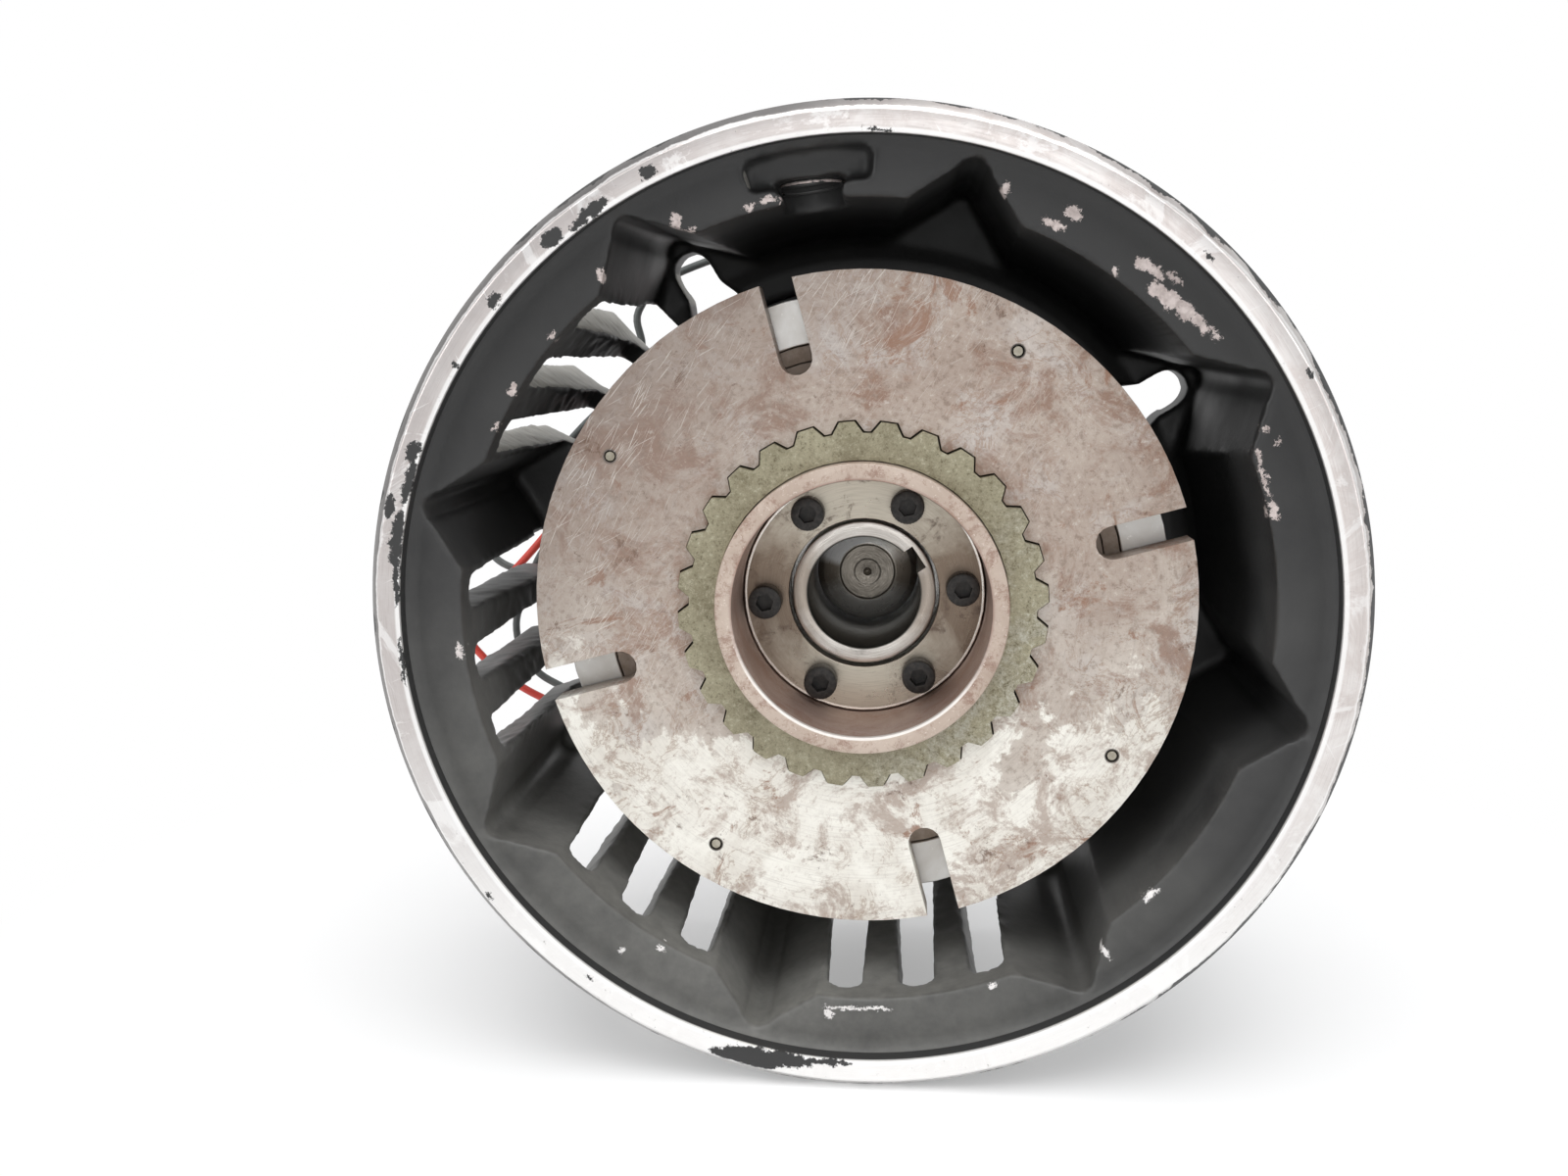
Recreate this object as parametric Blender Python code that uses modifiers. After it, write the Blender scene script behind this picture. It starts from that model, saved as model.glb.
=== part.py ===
# Electromagnetic clutch in a cast C-face housing, in metres and degrees.
# The clutch is modelled standing on its rear face, local +Z towards the open front.
# The empty clutch_axis then lays it over, so that the front looks along world -Y.
# Depths are counted rearwards from the rim of the open front.
import math

import bmesh
import bpy

# Clearances between pieces
SEAT_GAP = 0.0003  # pieces that seat on, press into or screw into one another
SPLINE_GAP = 0.00035  # side of a hub tooth to the side of an armature tooth
AIR_GAP = 0.0008  # armature to rotor with the coil off
FIELD_GAP = 0.001  # fixed field to turning rotor
CARRIER_GAP = 0.0018  # hub carrier to the rotor round it
CARRIER_REAR_GAP = 0.002  # hub carrier to the rotor web behind it
WEB_GAP = 0.0017  # rotor web to the bearing boss behind it
COVER_GAP = 0.0004  # bearing cover to the carrier round it
SLEEVE_GAP = 0.0009  # bearing cover to the sleeve that turns in it
CARRIER_WEB_GAP = 0.0020  # carrier web to the sleeve that turns in it
LEAD_GAP = 0.00045  # lead to the bore of its grommet

# Housing, from the rim inwards
HOUSING_LENGTH = 0.104
RIM_RADIUS = 0.1157
RIM_BEVEL_WIDTH = 0.0027
RIM_BEVEL = 0.0036
RIM_LAND = 0.00505
RIM_FLANGE = 0.011
REGISTER_DEPTH = 0.006
SEAT_WIDTH = 0.01295
BELL_TAPER = 0.003
BELL_CORNER = 0.006
WALL = 0.0100
WALL_FOOT = 0.003
REAR_WALL = 0.014
REAR_PLATE_STEP = 0.0067
PILOT_STEP = 0.0105
PILOT_HEIGHT = 0.004
EDGE = 0.0006

# Bolt pockets, seen from the front
POCKET_COUNT = 8
POCKET_PHASE = 31.3
POCKET_TIP_INSET = 0.00175
POCKET_TIP_WIDTH = 0.0084
POCKET_FLANK_ANGLE = 45.0
POCKET_STEP = 0.002
POCKET_BOSS_RADIUS = 0.013
POCKET_BOSS_WALL = 0.0043
POCKET_BOSS_STEP = 0.001

# Vent windows, open to the rear
WINDOW_BAYS = (2, 3, 4, 5)
WINDOW_PITCH_ANGLE = 10.8
WINDOW_FRONT_WIDTH = 0.0085
WINDOW_REAR_WIDTH = 0.0124
WINDOW_SILL = 0.0073
WINDOW_CORNER = 0.0032
WINDOW_REACH = 0.0015

# Bolt slots through the rear wall
SLOT_COUNT = 4
SLOT_WIDTH = 0.0104
SLOT_INSET = 0.004
SLOT_NECK = 0.0117
SLOT_BULGE_WIDTH = 0.015
SLOT_SHOULDER = 0.0008
SLOT_LENGTH = 0.0252

# Conduit entry
CONDUIT_ANGLE = 97.0
CONDUIT_DEPTH = 0.021
CONDUIT_HOLE_RADIUS = 0.0072
CONDUIT_BOSS_WALL = 0.0053
CONDUIT_BOSS_INSET = 0.0012
CONDUIT_STEM_INSET = 0.0008
CONDUIT_FILLET = 0.003
CONDUIT_BAR_ARC = 16.0
CONDUIT_BAR_HEIGHT = 0.0072
CONDUIT_BAR_SUNK = 0.0042

# Field magnet, fixed to the rear wall
COIL_WIDTH = 0.010
FIELD_WALL = 0.0045
FIELD_BACK = 0.011
COIL_FRONT_RECESS = 0.0025
FIELD_SCREW_COUNT = 4
FIELD_SCREW_PHASE = 53.8
FIELD_SCREW_RADIUS = 0.0026
FIELD_SCREW_HEAD_RADIUS = 0.005
FIELD_SCREW_HEAD = 0.006
FIELD_SCREW_LENGTH = 0.014
FIELD_SCREW_SOCKET = 0.0025
FIELD_SCREW_SUNK = 0.001
SCREW_CHAMFER = 0.0005

# Ball bearings, one pattern used twice
BEARING_SECTION = 0.01322
BEARING_WIDTH = 0.014
BEARING_RACE = 0.0038
BALL_COUNT = 7
CAGE_WIDTH = 0.0032
CAGE_WALL = 0.0012
REAR_BEARING_INSET = 0.0217
BEARING_LIP = 0.0023
BEARING_LIP_WIDTH = 0.004
BEARING_BOSS_WALL = 0.0087
SNAP_RING = 0.0014
SNAP_RING_WIDTH = 0.0034
SNAP_RING_OPENING = 22.0

# Drive sleeve and shaft
SHAFT_RADIUS = 0.01398
SHAFT_ENTRY = 0.026
SHAFT_REACH = 0.0667
SHAFT_CHAMFER = 0.0017
SHAFT_CENTRE_RADIUS = 0.0038
SHAFT_CENTRE_DEPTH = 0.0035
SLEEVE_WALL = 0.0032
SLEEVE_SHOULDER = 0.0008
SLEEVE_NOSE_LENGTH = 0.0125
SLEEVE_TAIL = 0.002
KEY_ANGLE = 34.0
KEY_WIDTH = 0.00635
KEY_SUNK = 0.0032
KEYWAY_DEPTH = 0.0025
SLEEVE_KEY_LENGTH = 0.019
SHAFT_KEY_LENGTH = 0.044
SHAFT_KEY_HEIGHT = 0.0031
SHAFT_KEY_BACK = 0.009

# Rotor
ROTOR_RIM = 0.0113
ROTOR_FACE = 0.008
ROTOR_RIM_LENGTH = 0.0375
ROTOR_INNER_POLE = 0.006
ROTOR_WEB = 0.008
FACING_INNER_RADIUS = 0.0601
FACING_WIDTH = 0.0038
FACING_THICKNESS = 0.0028
FACING_SUNK = 0.0004

# Splined hub and its carrier
HUB_FACE_DEPTH = 0.0167
HUB_THICKNESS = 0.011
HUB_RING = 0.00665
TOOTH_COUNT = 28
TOOTH_PHASE = 5.0
TOOTH_HEIGHT = 0.00275
TOOTH_TIP_WIDTH = 0.0036
TOOTH_FOOT_WIDTH = 0.0073
CARRIER_STAND = 0.004
CARRIER_WALL = 0.0042
CARRIER_WEB = 0.0067
CARRIER_LIP = 0.001
COVER_THICKNESS = 0.006
CAP_SCREW_COUNT = 6
CAP_SCREW_PHASE = 4.5
CAP_SCREW_INSET = 0.0056
CAP_SCREW_RADIUS = 0.0021
CAP_SCREW_HEAD_RADIUS = 0.00425
CAP_SCREW_HEAD = 0.005
CAP_SCREW_LENGTH = 0.0115
CAP_SCREW_SOCKET = 0.0023
CAP_SCREW_SOCKET_DEPTH = 0.003

# Armature
ARMATURE_RADIUS = 0.0799
ARMATURE_STEP = 0.002
ARMATURE_SLOT_COUNT = 4
ARMATURE_SLOT_PHASE = 15.2
ARMATURE_SLOT_WIDTH = 0.008
ARMATURE_SLOT_LENGTH = 0.0225
PIN_COUNT = 4
PIN_PHASE = 59.5
PIN_INSET = 0.0092
PIN_RADIUS = 0.0012

# Field leads, as places seen from the front at a depth behind the rim
GROMMET_ANGLE = 98.8
GROMMET_INSET = 0.0462
GROMMET_RADIUS = 0.0062
GROMMET_LIP = 0.002
LEAD_RADIUS = 0.0012
LEAD_OFFSET = 0.00145
LEAD_START = 0.008
RED_LEAD_PATH = (
    (-0.022, 0.0800, 0.114),
    (-0.048, 0.0660, 0.114),
    (-0.080, 0.0290, 0.114),
    (-0.1032, 0.0017, 0.114),
    (-0.1179, -0.0148, 0.114),
    (-0.1265, -0.0270, 0.114),
    (-0.1218, -0.0354, 0.114),
    (-0.1119, -0.0433, 0.114),
    (-0.0980, -0.0505, 0.114),
    (-0.0760, -0.0610, 0.115),
    (-0.0600, -0.0760, 0.116),
)
GREY_LEAD_PATH = (
    (-0.026, 0.0880, 0.118),
    (-0.054, 0.0860, 0.119),
    (-0.0715, 0.0727, 0.119),
    (-0.0710, 0.0604, 0.119),
    (-0.0920, 0.0350, 0.119),
    (-0.1150, 0.0120, 0.119),
    (-0.1205, 0.0000, 0.119),
    (-0.1137, -0.0069, 0.119),
    (-0.1020, -0.0068, 0.120),
    (-0.0890, -0.0020, 0.122),
    (-0.0850, 0.0060, 0.124),
    (-0.0920, 0.0090, 0.125),
    (-0.1030, 0.0000, 0.125),
    (-0.1105, -0.0150, 0.125),
    (-0.1139, -0.0280, 0.124),
    (-0.1085, -0.0395, 0.122),
    (-0.0960, -0.0470, 0.120),
    (-0.0800, -0.0560, 0.119),
    (-0.0700, -0.0750, 0.118),
)

# Facets of turned pieces
FINE_STEPS = 72
MID_STEPS = 48
RACE_STEPS = 30
SMALL_STEPS = 12
HALF_STEP = 0.5  # turns a cutter's facets clear of the corners that it cuts

# Places that follow from the sizes above: the housing
RIM_FACE_RADIUS = RIM_RADIUS - RIM_BEVEL_WIDTH
REGISTER_RADIUS = RIM_FACE_RADIUS - RIM_LAND
BELL_FRONT_RADIUS = REGISTER_RADIUS - SEAT_WIDTH
BELL_REAR_RADIUS = BELL_FRONT_RADIUS - BELL_TAPER
BELL_FLOOR_RADIUS = BELL_REAR_RADIUS - BELL_CORNER
WALL_RADIUS = BELL_FRONT_RADIUS + WALL
PILOT_RADIUS = WALL_RADIUS - PILOT_STEP
PILOT_DEPTH = HOUSING_LENGTH - PILOT_HEIGHT
REAR_WALL_DEPTH = HOUSING_LENGTH - REAR_WALL
REAR_PLATE_RADIUS = BELL_FLOOR_RADIUS - REAR_PLATE_STEP
POCKET_TIP_RADIUS = REGISTER_RADIUS - POCKET_TIP_INSET
POCKET_DEPTH = REAR_WALL_DEPTH - POCKET_STEP
POCKET_BOSS_CENTRE = POCKET_TIP_RADIUS + POCKET_BOSS_WALL - POCKET_BOSS_RADIUS
WINDOW_FRONT_DEPTH = REGISTER_DEPTH + WINDOW_SILL
SLOT_OUTER_RADIUS = POCKET_TIP_RADIUS - SLOT_INSET
SLOT_NECK_RADIUS = SLOT_OUTER_RADIUS - SLOT_NECK
SLOT_INNER_RADIUS = SLOT_OUTER_RADIUS - SLOT_LENGTH
CONDUIT_BOSS_RADIUS = CONDUIT_HOLE_RADIUS + CONDUIT_BOSS_WALL
CONDUIT_BOSS_REACH = RIM_RADIUS - CONDUIT_BOSS_INSET
CONDUIT_STEM_WIDTH = 2 * (CONDUIT_HOLE_RADIUS - CONDUIT_STEM_INSET)
CONDUIT_BAR_INNER = POCKET_TIP_RADIUS - CONDUIT_BAR_HEIGHT
CONDUIT_BAR_DEPTH = REGISTER_DEPTH + CONDUIT_BAR_SUNK

# The sleeve and its bearings, from the rear wall forwards
SLEEVE_BORE_RADIUS = SHAFT_RADIUS + SEAT_GAP
SLEEVE_SEAT_RADIUS = SLEEVE_BORE_RADIUS + SLEEVE_WALL
SLEEVE_NOSE_RADIUS = SLEEVE_SEAT_RADIUS + SLEEVE_SHOULDER
KEYWAY_TOP_RADIUS = SLEEVE_BORE_RADIUS + KEYWAY_DEPTH
KEY_FLOOR_RADIUS = SHAFT_RADIUS - KEY_SUNK
BEARING_INNER_RADIUS = SLEEVE_SEAT_RADIUS + SEAT_GAP
BEARING_OUTER_RADIUS = BEARING_INNER_RADIUS + BEARING_SECTION
BEARING_SEAT_RADIUS = BEARING_OUTER_RADIUS + SEAT_GAP
BEARING_LIP_RADIUS = BEARING_OUTER_RADIUS - BEARING_LIP_WIDTH
BEARING_BOSS_RADIUS = BEARING_OUTER_RADIUS + BEARING_BOSS_WALL
INNER_RACE_RADIUS = BEARING_INNER_RADIUS + BEARING_RACE
OUTER_RACE_RADIUS = BEARING_OUTER_RADIUS - BEARING_RACE
BALL_CIRCLE_RADIUS = (INNER_RACE_RADIUS + OUTER_RACE_RADIUS) / 2
BALL_RADIUS = (OUTER_RACE_RADIUS - INNER_RACE_RADIUS) / 2 - SEAT_GAP
REAR_BEARING_DEPTH = HOUSING_LENGTH - REAR_BEARING_INSET
REAR_SEAT_DEPTH = REAR_BEARING_DEPTH - SEAT_GAP
REAR_RING_DEPTH = REAR_BEARING_DEPTH + BEARING_WIDTH + SEAT_GAP
BEARING_BOSS_DEPTH = REAR_SEAT_DEPTH - BEARING_LIP
SLEEVE_REAR_DEPTH = REAR_RING_DEPTH + SNAP_RING + SLEEVE_TAIL
SHAFT_END_DEPTH = SLEEVE_REAR_DEPTH - SHAFT_ENTRY
STUB_END_DEPTH = HOUSING_LENGTH + SHAFT_REACH
ROTOR_WEB_REAR_DEPTH = BEARING_BOSS_DEPTH - WEB_GAP
ROTOR_WEB_DEPTH = ROTOR_WEB_REAR_DEPTH - ROTOR_WEB
CARRIER_REAR_DEPTH = ROTOR_WEB_DEPTH - CARRIER_REAR_GAP
HUB_RING_DEPTH = CARRIER_REAR_DEPTH - CARRIER_LIP - SNAP_RING
HUB_BEARING_DEPTH = HUB_RING_DEPTH - SEAT_GAP - BEARING_WIDTH
HUB_SEAT_DEPTH = HUB_BEARING_DEPTH - SEAT_GAP
SLEEVE_NOSE_DEPTH = HUB_BEARING_DEPTH - SEAT_GAP
SLEEVE_FRONT_DEPTH = HUB_BEARING_DEPTH - SLEEVE_NOSE_LENGTH

# The hub, armature, rotor and field
CARRIER_BORE_RADIUS = BEARING_OUTER_RADIUS
CARRIER_RADIUS = CARRIER_BORE_RADIUS + CARRIER_WALL
CARRIER_WEB_RADIUS = SLEEVE_NOSE_RADIUS + CARRIER_WEB_GAP
CARRIER_WEB_DEPTH = HUB_SEAT_DEPTH - CARRIER_WEB
CARRIER_FRONT_DEPTH = HUB_FACE_DEPTH - CARRIER_STAND
COVER_REAR_DEPTH = CARRIER_WEB_DEPTH - SEAT_GAP
COVER_FACE_DEPTH = COVER_REAR_DEPTH - COVER_THICKNESS
COVER_RADIUS = CARRIER_BORE_RADIUS - COVER_GAP
COVER_BORE_RADIUS = SLEEVE_NOSE_RADIUS + SLEEVE_GAP
CAP_HEAD_DEPTH = COVER_FACE_DEPTH - SEAT_GAP
CAP_SCREW_CIRCLE_RADIUS = COVER_RADIUS - CAP_SCREW_INSET
HUB_BORE_RADIUS = CARRIER_RADIUS + SEAT_GAP
HUB_REAR_DEPTH = HUB_FACE_DEPTH + HUB_THICKNESS
TOOTH_ROOT_RADIUS = CARRIER_RADIUS + HUB_RING
TOOTH_TIP_RADIUS = TOOTH_ROOT_RADIUS + TOOTH_HEIGHT
ARMATURE_FACE_DEPTH = HUB_FACE_DEPTH + ARMATURE_STEP
ARMATURE_REAR_DEPTH = HUB_REAR_DEPTH
ARMATURE_SLOT_END = ARMATURE_RADIUS - ARMATURE_SLOT_LENGTH
PIN_CIRCLE_RADIUS = ARMATURE_RADIUS - PIN_INSET
ROTOR_FACE_DEPTH = ARMATURE_REAR_DEPTH + AIR_GAP
ROTOR_POCKET_DEPTH = ROTOR_FACE_DEPTH + ROTOR_FACE
ROTOR_BORE_RADIUS = CARRIER_RADIUS + CARRIER_GAP
INNER_POLE_RADIUS = ROTOR_BORE_RADIUS + ROTOR_INNER_POLE
FACING_OUTER_RADIUS = FACING_INNER_RADIUS + FACING_WIDTH
FIELD_INNER_RADIUS = INNER_POLE_RADIUS + FIELD_GAP
FIELD_OUTER_RADIUS = FIELD_INNER_RADIUS + 2 * FIELD_WALL + COIL_WIDTH
FIELD_FRONT_DEPTH = ROTOR_POCKET_DEPTH + FIELD_GAP
FIELD_REAR_DEPTH = REAR_WALL_DEPTH - SEAT_GAP
ROTOR_RIM_INNER_RADIUS = FIELD_OUTER_RADIUS + FIELD_GAP
ROTOR_RADIUS = ROTOR_RIM_INNER_RADIUS + ROTOR_RIM
FIELD_SCREW_CIRCLE_RADIUS = (FIELD_INNER_RADIUS + FIELD_OUTER_RADIUS) / 2
FIELD_HEAD_DEPTH = HOUSING_LENGTH - FIELD_SCREW_SUNK
COIL_REAR_DEPTH = FIELD_REAR_DEPTH - FIELD_BACK
GROMMET_CIRCLE_RADIUS = RIM_RADIUS - GROMMET_INSET
GROMMET_LIP_RADIUS = GROMMET_RADIUS + GROMMET_LIP
GROMMET_BORE_RADIUS = LEAD_OFFSET + LEAD_RADIUS + LEAD_GAP
LEAD_START_DEPTH = HOUSING_LENGTH - LEAD_START


def height(depth):
    """Local Z of a depth behind the rim."""
    return HOUSING_LENGTH - depth


def polar(radius, degrees):
    turn = math.radians(degrees)
    return radius * math.cos(turn), radius * math.sin(turn)


def spaced(count, phase):
    return [phase + 360.0 / count * index for index in range(count)]


def arc(radius, first, last, steps, centre=(0.0, 0.0)):
    """Points from the first angle to the last, both included."""
    points = []
    for index in range(steps + 1):
        x, y = polar(radius, first + (last - first) * index / steps)
        points.append((centre[0] + x, centre[1] + y))
    return points


def circle(radius, steps, centre=(0.0, 0.0)):
    return arc(radius, 0.0, 360.0, steps, centre)[:-1]


def swung(outline, degrees):
    """An outline drawn along +X, turned round the axis."""
    turn = math.radians(degrees)
    points = []
    for x, y in outline:
        points.append((
            x * math.cos(turn) - y * math.sin(turn),
            x * math.sin(turn) + y * math.cos(turn),
        ))
    return points


def turned(name, profile, steps, first_step=0.0):
    """A profile of (radius, depth) turned about Z, going down its outer side first."""
    points = []
    for radius, depth in profile:
        x, y = polar(radius, 360.0 / steps * first_step)
        points.append((x, y, height(depth)))
    edges = [(index, index + 1) for index in range(len(points) - 1)]
    if profile[0][0] > 0.0:
        edges.append((len(points) - 1, 0))
    mesh = bpy.data.meshes.new(name)
    mesh.from_pydata(points, edges, [])
    obj = bpy.data.objects.new(name, mesh)
    screw = obj.modifiers.new("Turn", "SCREW")
    screw.axis = "Z"
    screw.angle = math.radians(360.0)
    screw.steps = steps
    screw.render_steps = steps
    screw.use_merge_vertices = True
    screw.merge_threshold = 0.00001
    return obj


def prism_faces(points, bottom, top):
    """Vertices and faces of a prism over a counter-clockwise outline."""
    count = len(points)
    vertices = [(x, y, bottom) for x, y in points] + [(x, y, top) for x, y in points]
    faces = [tuple(range(count - 1, -1, -1)), tuple(range(count, 2 * count))]
    for index in range(count):
        after = (index + 1) % count
        faces.append((index, after, count + after, count + index))
    return vertices, faces


def prisms(name, outlines, front_depth, rear_depth):
    """One mesh of separate prisms between two depths."""
    vertices = []
    faces = []
    for outline in outlines:
        more, sides = prism_faces(outline, height(rear_depth), height(front_depth))
        start = len(vertices)
        vertices.extend(more)
        for side in sides:
            faces.append(tuple(start + corner for corner in side))
    mesh = bpy.data.meshes.new(name)
    mesh.from_pydata(vertices, [], faces)
    return bpy.data.objects.new(name, mesh)


def plate(name, outlines, front_depth, rear_depth):
    """A flat plate from a filled 2D curve: outlines inside the first are holes."""
    curve = bpy.data.curves.new(name + "_outline", "CURVE")
    curve.dimensions = "2D"
    curve.fill_mode = "BOTH"
    curve.extrude = (rear_depth - front_depth) / 2
    for outline in outlines:
        spline = curve.splines.new("POLY")
        spline.points.add(len(outline) - 1)
        for point, (x, y) in zip(spline.points, outline):
            point.co = (x, y, 0.0, 1.0)
        spline.use_cyclic_u = True
    drawn = bpy.data.objects.new(name + "_outline", curve)
    bpy.context.scene.collection.objects.link(drawn)
    graph = bpy.context.evaluated_depsgraph_get()
    mesh = bpy.data.meshes.new_from_object(drawn.evaluated_get(graph))
    mesh.name = name
    bpy.data.objects.remove(drawn)
    shape = bmesh.new()
    shape.from_mesh(mesh)
    bmesh.ops.remove_doubles(shape, verts=shape.verts, dist=0.000002)
    middle = height((front_depth + rear_depth) / 2)
    bmesh.ops.translate(shape, verts=shape.verts, vec=(0.0, 0.0, middle))
    bmesh.ops.recalc_face_normals(shape, faces=shape.faces)
    shape.to_mesh(mesh)
    shape.free()
    return bpy.data.objects.new(name, mesh)


def cutter(obj):
    """Keeps a helper out of the finished part."""
    cutters.objects.link(obj)
    obj.hide_render = True
    obj.display_type = "WIRE"
    obj.parent = clutch_axis
    return obj


def boolean(obj, other, operation):
    modifier = obj.modifiers.new(other.name, "BOOLEAN")
    modifier.operation = operation
    modifier.solver = "EXACT"
    modifier.object = cutter(other)


def cut(obj, other):
    boolean(obj, other, "DIFFERENCE")


def join(obj, other):
    boolean(obj, other, "UNION")


def finish(obj, parent, colour, roughness, metallic):
    """Gives a piece its place in the tree and its own material."""
    clutch.objects.link(obj)
    obj.parent = parent
    material = bpy.data.materials.new(obj.name)
    material.use_nodes = True
    shader = material.node_tree.nodes["Principled BSDF"]
    shader.inputs["Base Color"].default_value = (*colour, 1.0)
    shader.inputs["Roughness"].default_value = roughness
    shader.inputs["Metallic"].default_value = metallic
    obj.data.materials.clear()
    obj.data.materials.append(material)
    return obj


def axis_empty(name, parent):
    empty = bpy.data.objects.new(name, None)
    empty.empty_display_size = 0.03
    empty.parent = parent
    clutch.objects.link(empty)
    return empty


# An empty scene with one collection for the part and one for its cutters
for old in list(bpy.data.objects):
    bpy.data.objects.remove(old)
clutch = bpy.data.collections.new("electromagnetic_clutch")
bpy.context.scene.collection.children.link(clutch)
cutters = bpy.data.collections.new("cutters")
bpy.context.scene.collection.children.link(cutters)
clutch_axis = axis_empty("clutch_axis", None)
clutch_axis.rotation_euler = (math.radians(90.0), 0.0, 0.0)
rotor_axis = axis_empty("rotor_axis", clutch_axis)
hub_axis = axis_empty("hub_axis", rotor_axis)
armature_axis = axis_empty("armature_axis", hub_axis)

CAST_BLACK = (0.028, 0.028, 0.03)
STEEL = (0.50, 0.47, 0.43)
DARK_STEEL = (0.17, 0.15, 0.13)
BLACK_OXIDE = (0.045, 0.042, 0.04)
OLIVE = (0.27, 0.235, 0.135)
RACE_STEEL = (0.62, 0.61, 0.59)

# Housing: a turned body with pocket bosses, then everything that is cut from it
housing = turned("housing", [
    (0.0, 0.0),
    (RIM_FACE_RADIUS, 0.0),
    (RIM_RADIUS, RIM_BEVEL),
    (RIM_RADIUS, RIM_FLANGE),
    (WALL_RADIUS + WALL_FOOT, RIM_FLANGE),
    (WALL_RADIUS, RIM_FLANGE + WALL_FOOT),
    (WALL_RADIUS, PILOT_DEPTH),
    (PILOT_RADIUS, PILOT_DEPTH),
    (PILOT_RADIUS, HOUSING_LENGTH),
    (0.0, HOUSING_LENGTH),
], FINE_STEPS)
boss_outline = circle(POCKET_BOSS_RADIUS, 14, (POCKET_BOSS_CENTRE, 0.0))
pocket_angles = spaced(POCKET_COUNT, POCKET_PHASE)
join(housing, prisms(
    "pocket_bosses",
    [swung(boss_outline, angle) for angle in pocket_angles],
    RIM_FLANGE / 2,
    PILOT_DEPTH - POCKET_BOSS_STEP,
))


def radial_cylinder(name, radius, inner, outer, steps):
    """A cylinder across the axis at the conduit's place."""
    vertices, faces = prism_faces(circle(radius, steps), inner, outer)
    turn = math.radians(CONDUIT_ANGLE)
    placed = []
    for side, along, reach in vertices:
        x = reach * math.cos(turn) - side * math.sin(turn)
        y = reach * math.sin(turn) + side * math.cos(turn)
        placed.append((x, y, along + height(CONDUIT_DEPTH)))
    mesh = bpy.data.meshes.new(name)
    mesh.from_pydata(placed, [], faces)
    return bpy.data.objects.new(name, mesh)


join(housing, radial_cylinder(
    "conduit_boss", CONDUIT_BOSS_RADIUS, BELL_FRONT_RADIUS, CONDUIT_BOSS_REACH, 18
))
cut(housing, turned("bell", [
    (0.0, -RIM_FLANGE),
    (REGISTER_RADIUS, -RIM_FLANGE),
    (REGISTER_RADIUS, REGISTER_DEPTH),
    (BELL_FRONT_RADIUS, REGISTER_DEPTH),
    (BELL_REAR_RADIUS, REAR_WALL_DEPTH - BELL_CORNER),
    (BELL_REAR_RADIUS - BELL_CORNER * 0.3, REAR_WALL_DEPTH - BELL_CORNER * 0.3),
    (BELL_FLOOR_RADIUS, REAR_WALL_DEPTH),
    (REAR_PLATE_RADIUS, REAR_WALL_DEPTH),
    (REAR_PLATE_RADIUS, HOUSING_LENGTH + RIM_FLANGE),
    (0.0, HOUSING_LENGTH + RIM_FLANGE),
], FINE_STEPS, HALF_STEP))

half_tip = POCKET_TIP_WIDTH / 2
tip_centre = POCKET_TIP_RADIUS - half_tip * 0.8
half_foot = half_tip + (tip_centre - BELL_FLOOR_RADIUS) * math.tan(math.radians(POCKET_FLANK_ANGLE))
pocket_outline = [
    (BELL_FLOOR_RADIUS, -half_foot),
    (tip_centre, -half_tip),
    (POCKET_TIP_RADIUS - half_tip * 0.3, -half_tip * 0.66),
    (POCKET_TIP_RADIUS, -half_tip * 0.2),
    (POCKET_TIP_RADIUS, half_tip * 0.2),
    (POCKET_TIP_RADIUS - half_tip * 0.3, half_tip * 0.66),
    (tip_centre, half_tip),
    (BELL_FLOOR_RADIUS, half_foot),
]
cut(housing, prisms(
    "pockets",
    [swung(pocket_outline, angle) for angle in pocket_angles],
    REGISTER_DEPTH / 2,
    POCKET_DEPTH,
))


def window_cutters():
    """Windows through the wall, three to each open bay, round in front and open behind."""
    front = WINDOW_FRONT_WIDTH / 2
    rear = WINDOW_REAR_WIDTH / 2
    top = height(WINDOW_FRONT_DEPTH)
    corner = WINDOW_CORNER
    outline = [(-rear, -BELL_CORNER), (rear, -BELL_CORNER)]
    outline += arc(corner, 0.0, 90.0, 3, (front - corner, top - corner))
    outline += arc(corner, 90.0, 180.0, 3, (corner - front, top - corner))
    inner = BELL_FLOOR_RADIUS - WINDOW_REACH
    vertices = []
    faces = []
    for bay in WINDOW_BAYS:
        middle = POCKET_PHASE + 360.0 / POCKET_COUNT * (bay + 0.5)
        for step in (-1, 0, 1):
            turn = math.radians(middle + WINDOW_PITCH_ANGLE * step)
            more, sides = prism_faces(outline, inner, RIM_RADIUS)
            start = len(vertices)
            for side, along, reach in more:
                x = reach * math.cos(turn) - side * math.sin(turn)
                y = reach * math.sin(turn) + side * math.cos(turn)
                vertices.append((x, y, along))
            for face in sides:
                faces.append(tuple(start + corner_index for corner_index in face))
    mesh = bpy.data.meshes.new("windows")
    mesh.from_pydata(vertices, [], faces)
    return bpy.data.objects.new("windows", mesh)


cut(housing, window_cutters())

half_slot = SLOT_WIDTH / 2
half_bulge = SLOT_BULGE_WIDTH / 2
slot_shoulder = SLOT_INNER_RADIUS + half_bulge + SLOT_SHOULDER
slot_outline = []
slot_outline += arc(half_slot, -90.0, 90.0, 6, (SLOT_OUTER_RADIUS - half_slot, 0.0))
slot_outline.append((SLOT_NECK_RADIUS, half_slot))
slot_outline.append((slot_shoulder, half_bulge))
slot_outline += arc(half_bulge, 90.0, 270.0, 6, (SLOT_INNER_RADIUS + half_bulge, 0.0))
slot_outline.append((slot_shoulder, -half_bulge))
slot_outline.append((SLOT_NECK_RADIUS, -half_slot))


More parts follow.
